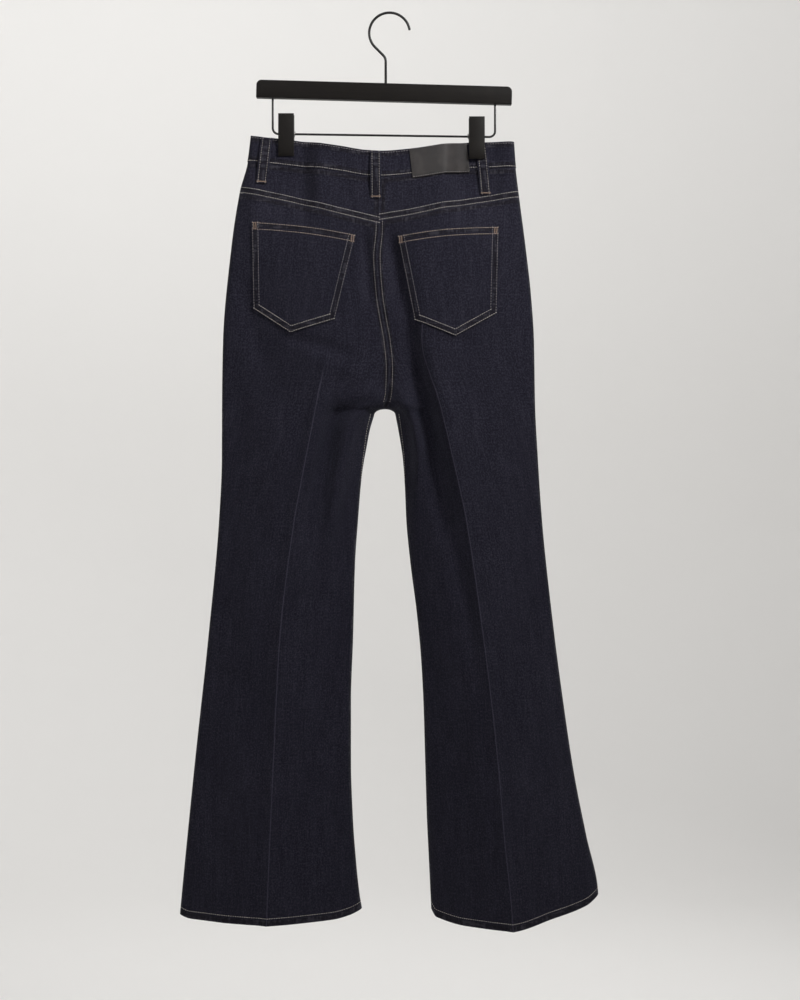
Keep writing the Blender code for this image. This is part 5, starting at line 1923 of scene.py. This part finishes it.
def spring_tree():
    """A round wire wound in a helix along Z."""
    sizes = ("Turns", "Radius", "Rise", "Wire")
    graph, given = open_tree("wound_spring", sizes, "Metal")
    helix = graph.node(
        "GeometryNodeCurveSpiral", {},
        {"Resolution": 20, "Rotations": given["Turns"], "Start Radius": given["Radius"],
         "End Radius": given["Radius"], "Height": given["Rise"]},
    )
    section = graph.node(
        "GeometryNodeCurvePrimitiveCircle", {}, {"Resolution": 8, "Radius": given["Wire"]}
    )
    values = {"Curve": helix, "Profile Curve": section, "Fill Caps": True}
    tube = graph.node("GeometryNodeCurveToMesh", {}, values)
    return close_tree(graph, tube, given["Metal"])


def spring_steel():
    finish = Finish("spring_steel", {"Metallic": 1.0, "Roughness": 0.35})
    place = finish.place()
    dull = finish.noise(place, 260.0, 3.0, 0.6).between(0.4, 0.7)
    fine = finish.noise(place, 2200.0, 2.0)
    finish.feed("Base Color", finish.mix(dull * 0.7, STEEL, STEEL_DARK))
    finish.feed("Roughness", 0.26 + dull * 0.2 + fine * 0.1)
    finish.bump(fine, 0.00012)
    return finish.material


def clip_spring(which, tree, finish):
    across = CLIPS[which][0]
    inwards = towards_middle(which)
    slope = (RAIL_RIGHT[1] - RAIL_LEFT[1]) / (RAIL_RIGHT[0] - RAIL_LEFT[0])
    along = Vector((inwards, 0, -slope * inwards)).normalized()
    middle = Vector((across, 0, -rail_down(across)))
    bore = 0.5 * RAIL_WIRE + SEAM_GAP
    profile = [
        (bore, -SLEEVE_HALF), (SLEEVE_RADIUS, -SLEEVE_HALF), (SLEEVE_RADIUS, SLEEVE_HALF),
        (bore, SLEEVE_HALF), (bore, -SLEEVE_HALF),
    ]
    sleeve = turned_mesh(f"clip_sleeve_{which}", profile, 24, middle, along)
    node = f"clip_barrel_{which}"
    in_place(add_object(f"clip_sleeve_{which}", sleeve, [finish]), node)

    seed = bpy.data.meshes.new(f"clip_spring_{which}")
    seed.from_pydata([(0, 0, 0)], [], [])
    spring = add_object(f"clip_spring_{which}", seed, [finish])
    run_tree(spring, tree, {
        "Turns": float(SPRING_TURNS), "Radius": SPRING_RADIUS * MM, "Wire": 0.5 * SPRING_WIRE * MM,
        "Rise": (SPRING_END - SPRING_START) * MM, "Metal": finish,
    })
    turn = along.to_track_quat("Z", "Y").to_matrix().to_4x4()
    spring.data.transform(turn)
    shift = (middle + along * SPRING_START) * MM
    for vertex in spring.data.vertices:
        vertex.co += shift
    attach(spring, "root")


winding = spring_tree()
steel = spring_steel()
for clip_name in CLIPS:
    clip_spring(clip_name, winding, steel)

# Studio: a pale floor that curves up into a pale round wall, a soft light from the right, a weaker
# one from the left, lights on the wall, and the camera level with the middle of the jeans.

CAMERA_ACROSS = 0.0144
CAMERA_BACK = 2.6
CAMERA_UP = -0.6687
VIEW_HEIGHT = 1.376
SENSOR = 24.0
FLOOR_UP = -1.95
STUDIO_RADIUS = 5.2
STUDIO_HEIGHT = 6.5
COVE = 1.6
WALL_PAINT = (0.80, 0.79, 0.775)
WALL_PAINT_DIM = (0.76, 0.75, 0.735)
DAYLIGHT = (0.97, 0.985, 1.0, 1)
DAYLIGHT_STRENGTH = 0.07
KEY_SPREAD = math.radians(92)

# Each light's name, its place and aim, its width and its power in watts.
LIGHTS = (
    ("key", (1.2, -1.25, 0.95), (0.0, 0.0, 0.35), 0.6, 12.8),
    ("second", (-1.5, -1.8, 0.9), (0.0, 0.0, 0.35), 0.9, 2.4),
    ("wall", (-0.5, 1.6, 2.2), (-0.8, 5.2, 1.25), 2.4, 96.0),
    ("ceiling", (-0.3, 0.0, 3.9), (-0.3, 0.0, 0.0), 3.6, 52.0),
    ("behind", (1.6, 2.4, 0.9), (0.0, 0.0, -0.4), 1.2, 42.0),
    ("far_wall", (0.4, -3.0, 2.3), (0.6, -5.2, 0.9), 2.4, 26.0),
)


def studio_shell():
    flat = STUDIO_RADIUS - COVE
    profile = [(0.0, 0.0), (flat, 0.0)]
    for angle in np.radians(np.arange(10, 91, 10)):
        profile.append((flat + COVE * math.sin(angle), COVE * (1 - math.cos(angle))))
    profile.append((STUDIO_RADIUS, STUDIO_HEIGHT))
    scaled = [(radius / MM, height / MM) for radius, height in profile]
    mesh = turned_mesh("studio", scaled, 72, (0, 0, FLOOR_UP / MM), (0, 0, 1))
    mesh.flip_normals()
    finish = Finish("pale_wall_paint", {"Roughness": 0.95, "Specular IOR Level": 0.2})
    mottle = finish.noise(finish.place(), 0.9, 4.0, 0.6)
    finish.feed("Base Color", finish.mix(mottle * 0.5, WALL_PAINT, WALL_PAINT_DIM))
    obj = add_object("studio", mesh, [finish.material])


studio_shell()
for light_name, place, aim, size, power in LIGHTS:
    lamp = bpy.data.lights.new(light_name, "AREA")
    lamp.shape = "DISK"
    lamp.size = size
    lamp.energy = power
    if light_name in ("key", "second"):
        lamp.spread = KEY_SPREAD
    lamp_object = bpy.data.objects.new(light_name, lamp)
    bpy.context.scene.collection.objects.link(lamp_object)
    lamp_object.location = place
    direction = Vector(aim) - Vector(place)
    lamp_object.rotation_mode = "QUATERNION"
    lamp_object.rotation_quaternion = direction.to_track_quat("-Z", "Y")

world = bpy.data.worlds.new("soft_daylight")
world.use_nodes = True
backdrop = world.node_tree.nodes["Background"]
backdrop.inputs["Color"].default_value = DAYLIGHT
backdrop.inputs["Strength"].default_value = DAYLIGHT_STRENGTH
bpy.context.scene.world = world
bpy.context.scene.view_settings.view_transform = "Standard"

camera = bpy.data.cameras.new("camera")
camera.sensor_fit = "VERTICAL"
camera.sensor_height = SENSOR
camera.sensor_width = SENSOR
camera.lens = SENSOR * CAMERA_BACK / VIEW_HEIGHT
camera.clip_end = 50
camera_object = bpy.data.objects.new("camera", camera)
bpy.context.scene.collection.objects.link(camera_object)
camera_object.location = (CAMERA_ACROSS, -CAMERA_BACK, CAMERA_UP)
camera_object.rotation_euler = (math.radians(90), 0, 0)
bpy.context.scene.camera = camera_object
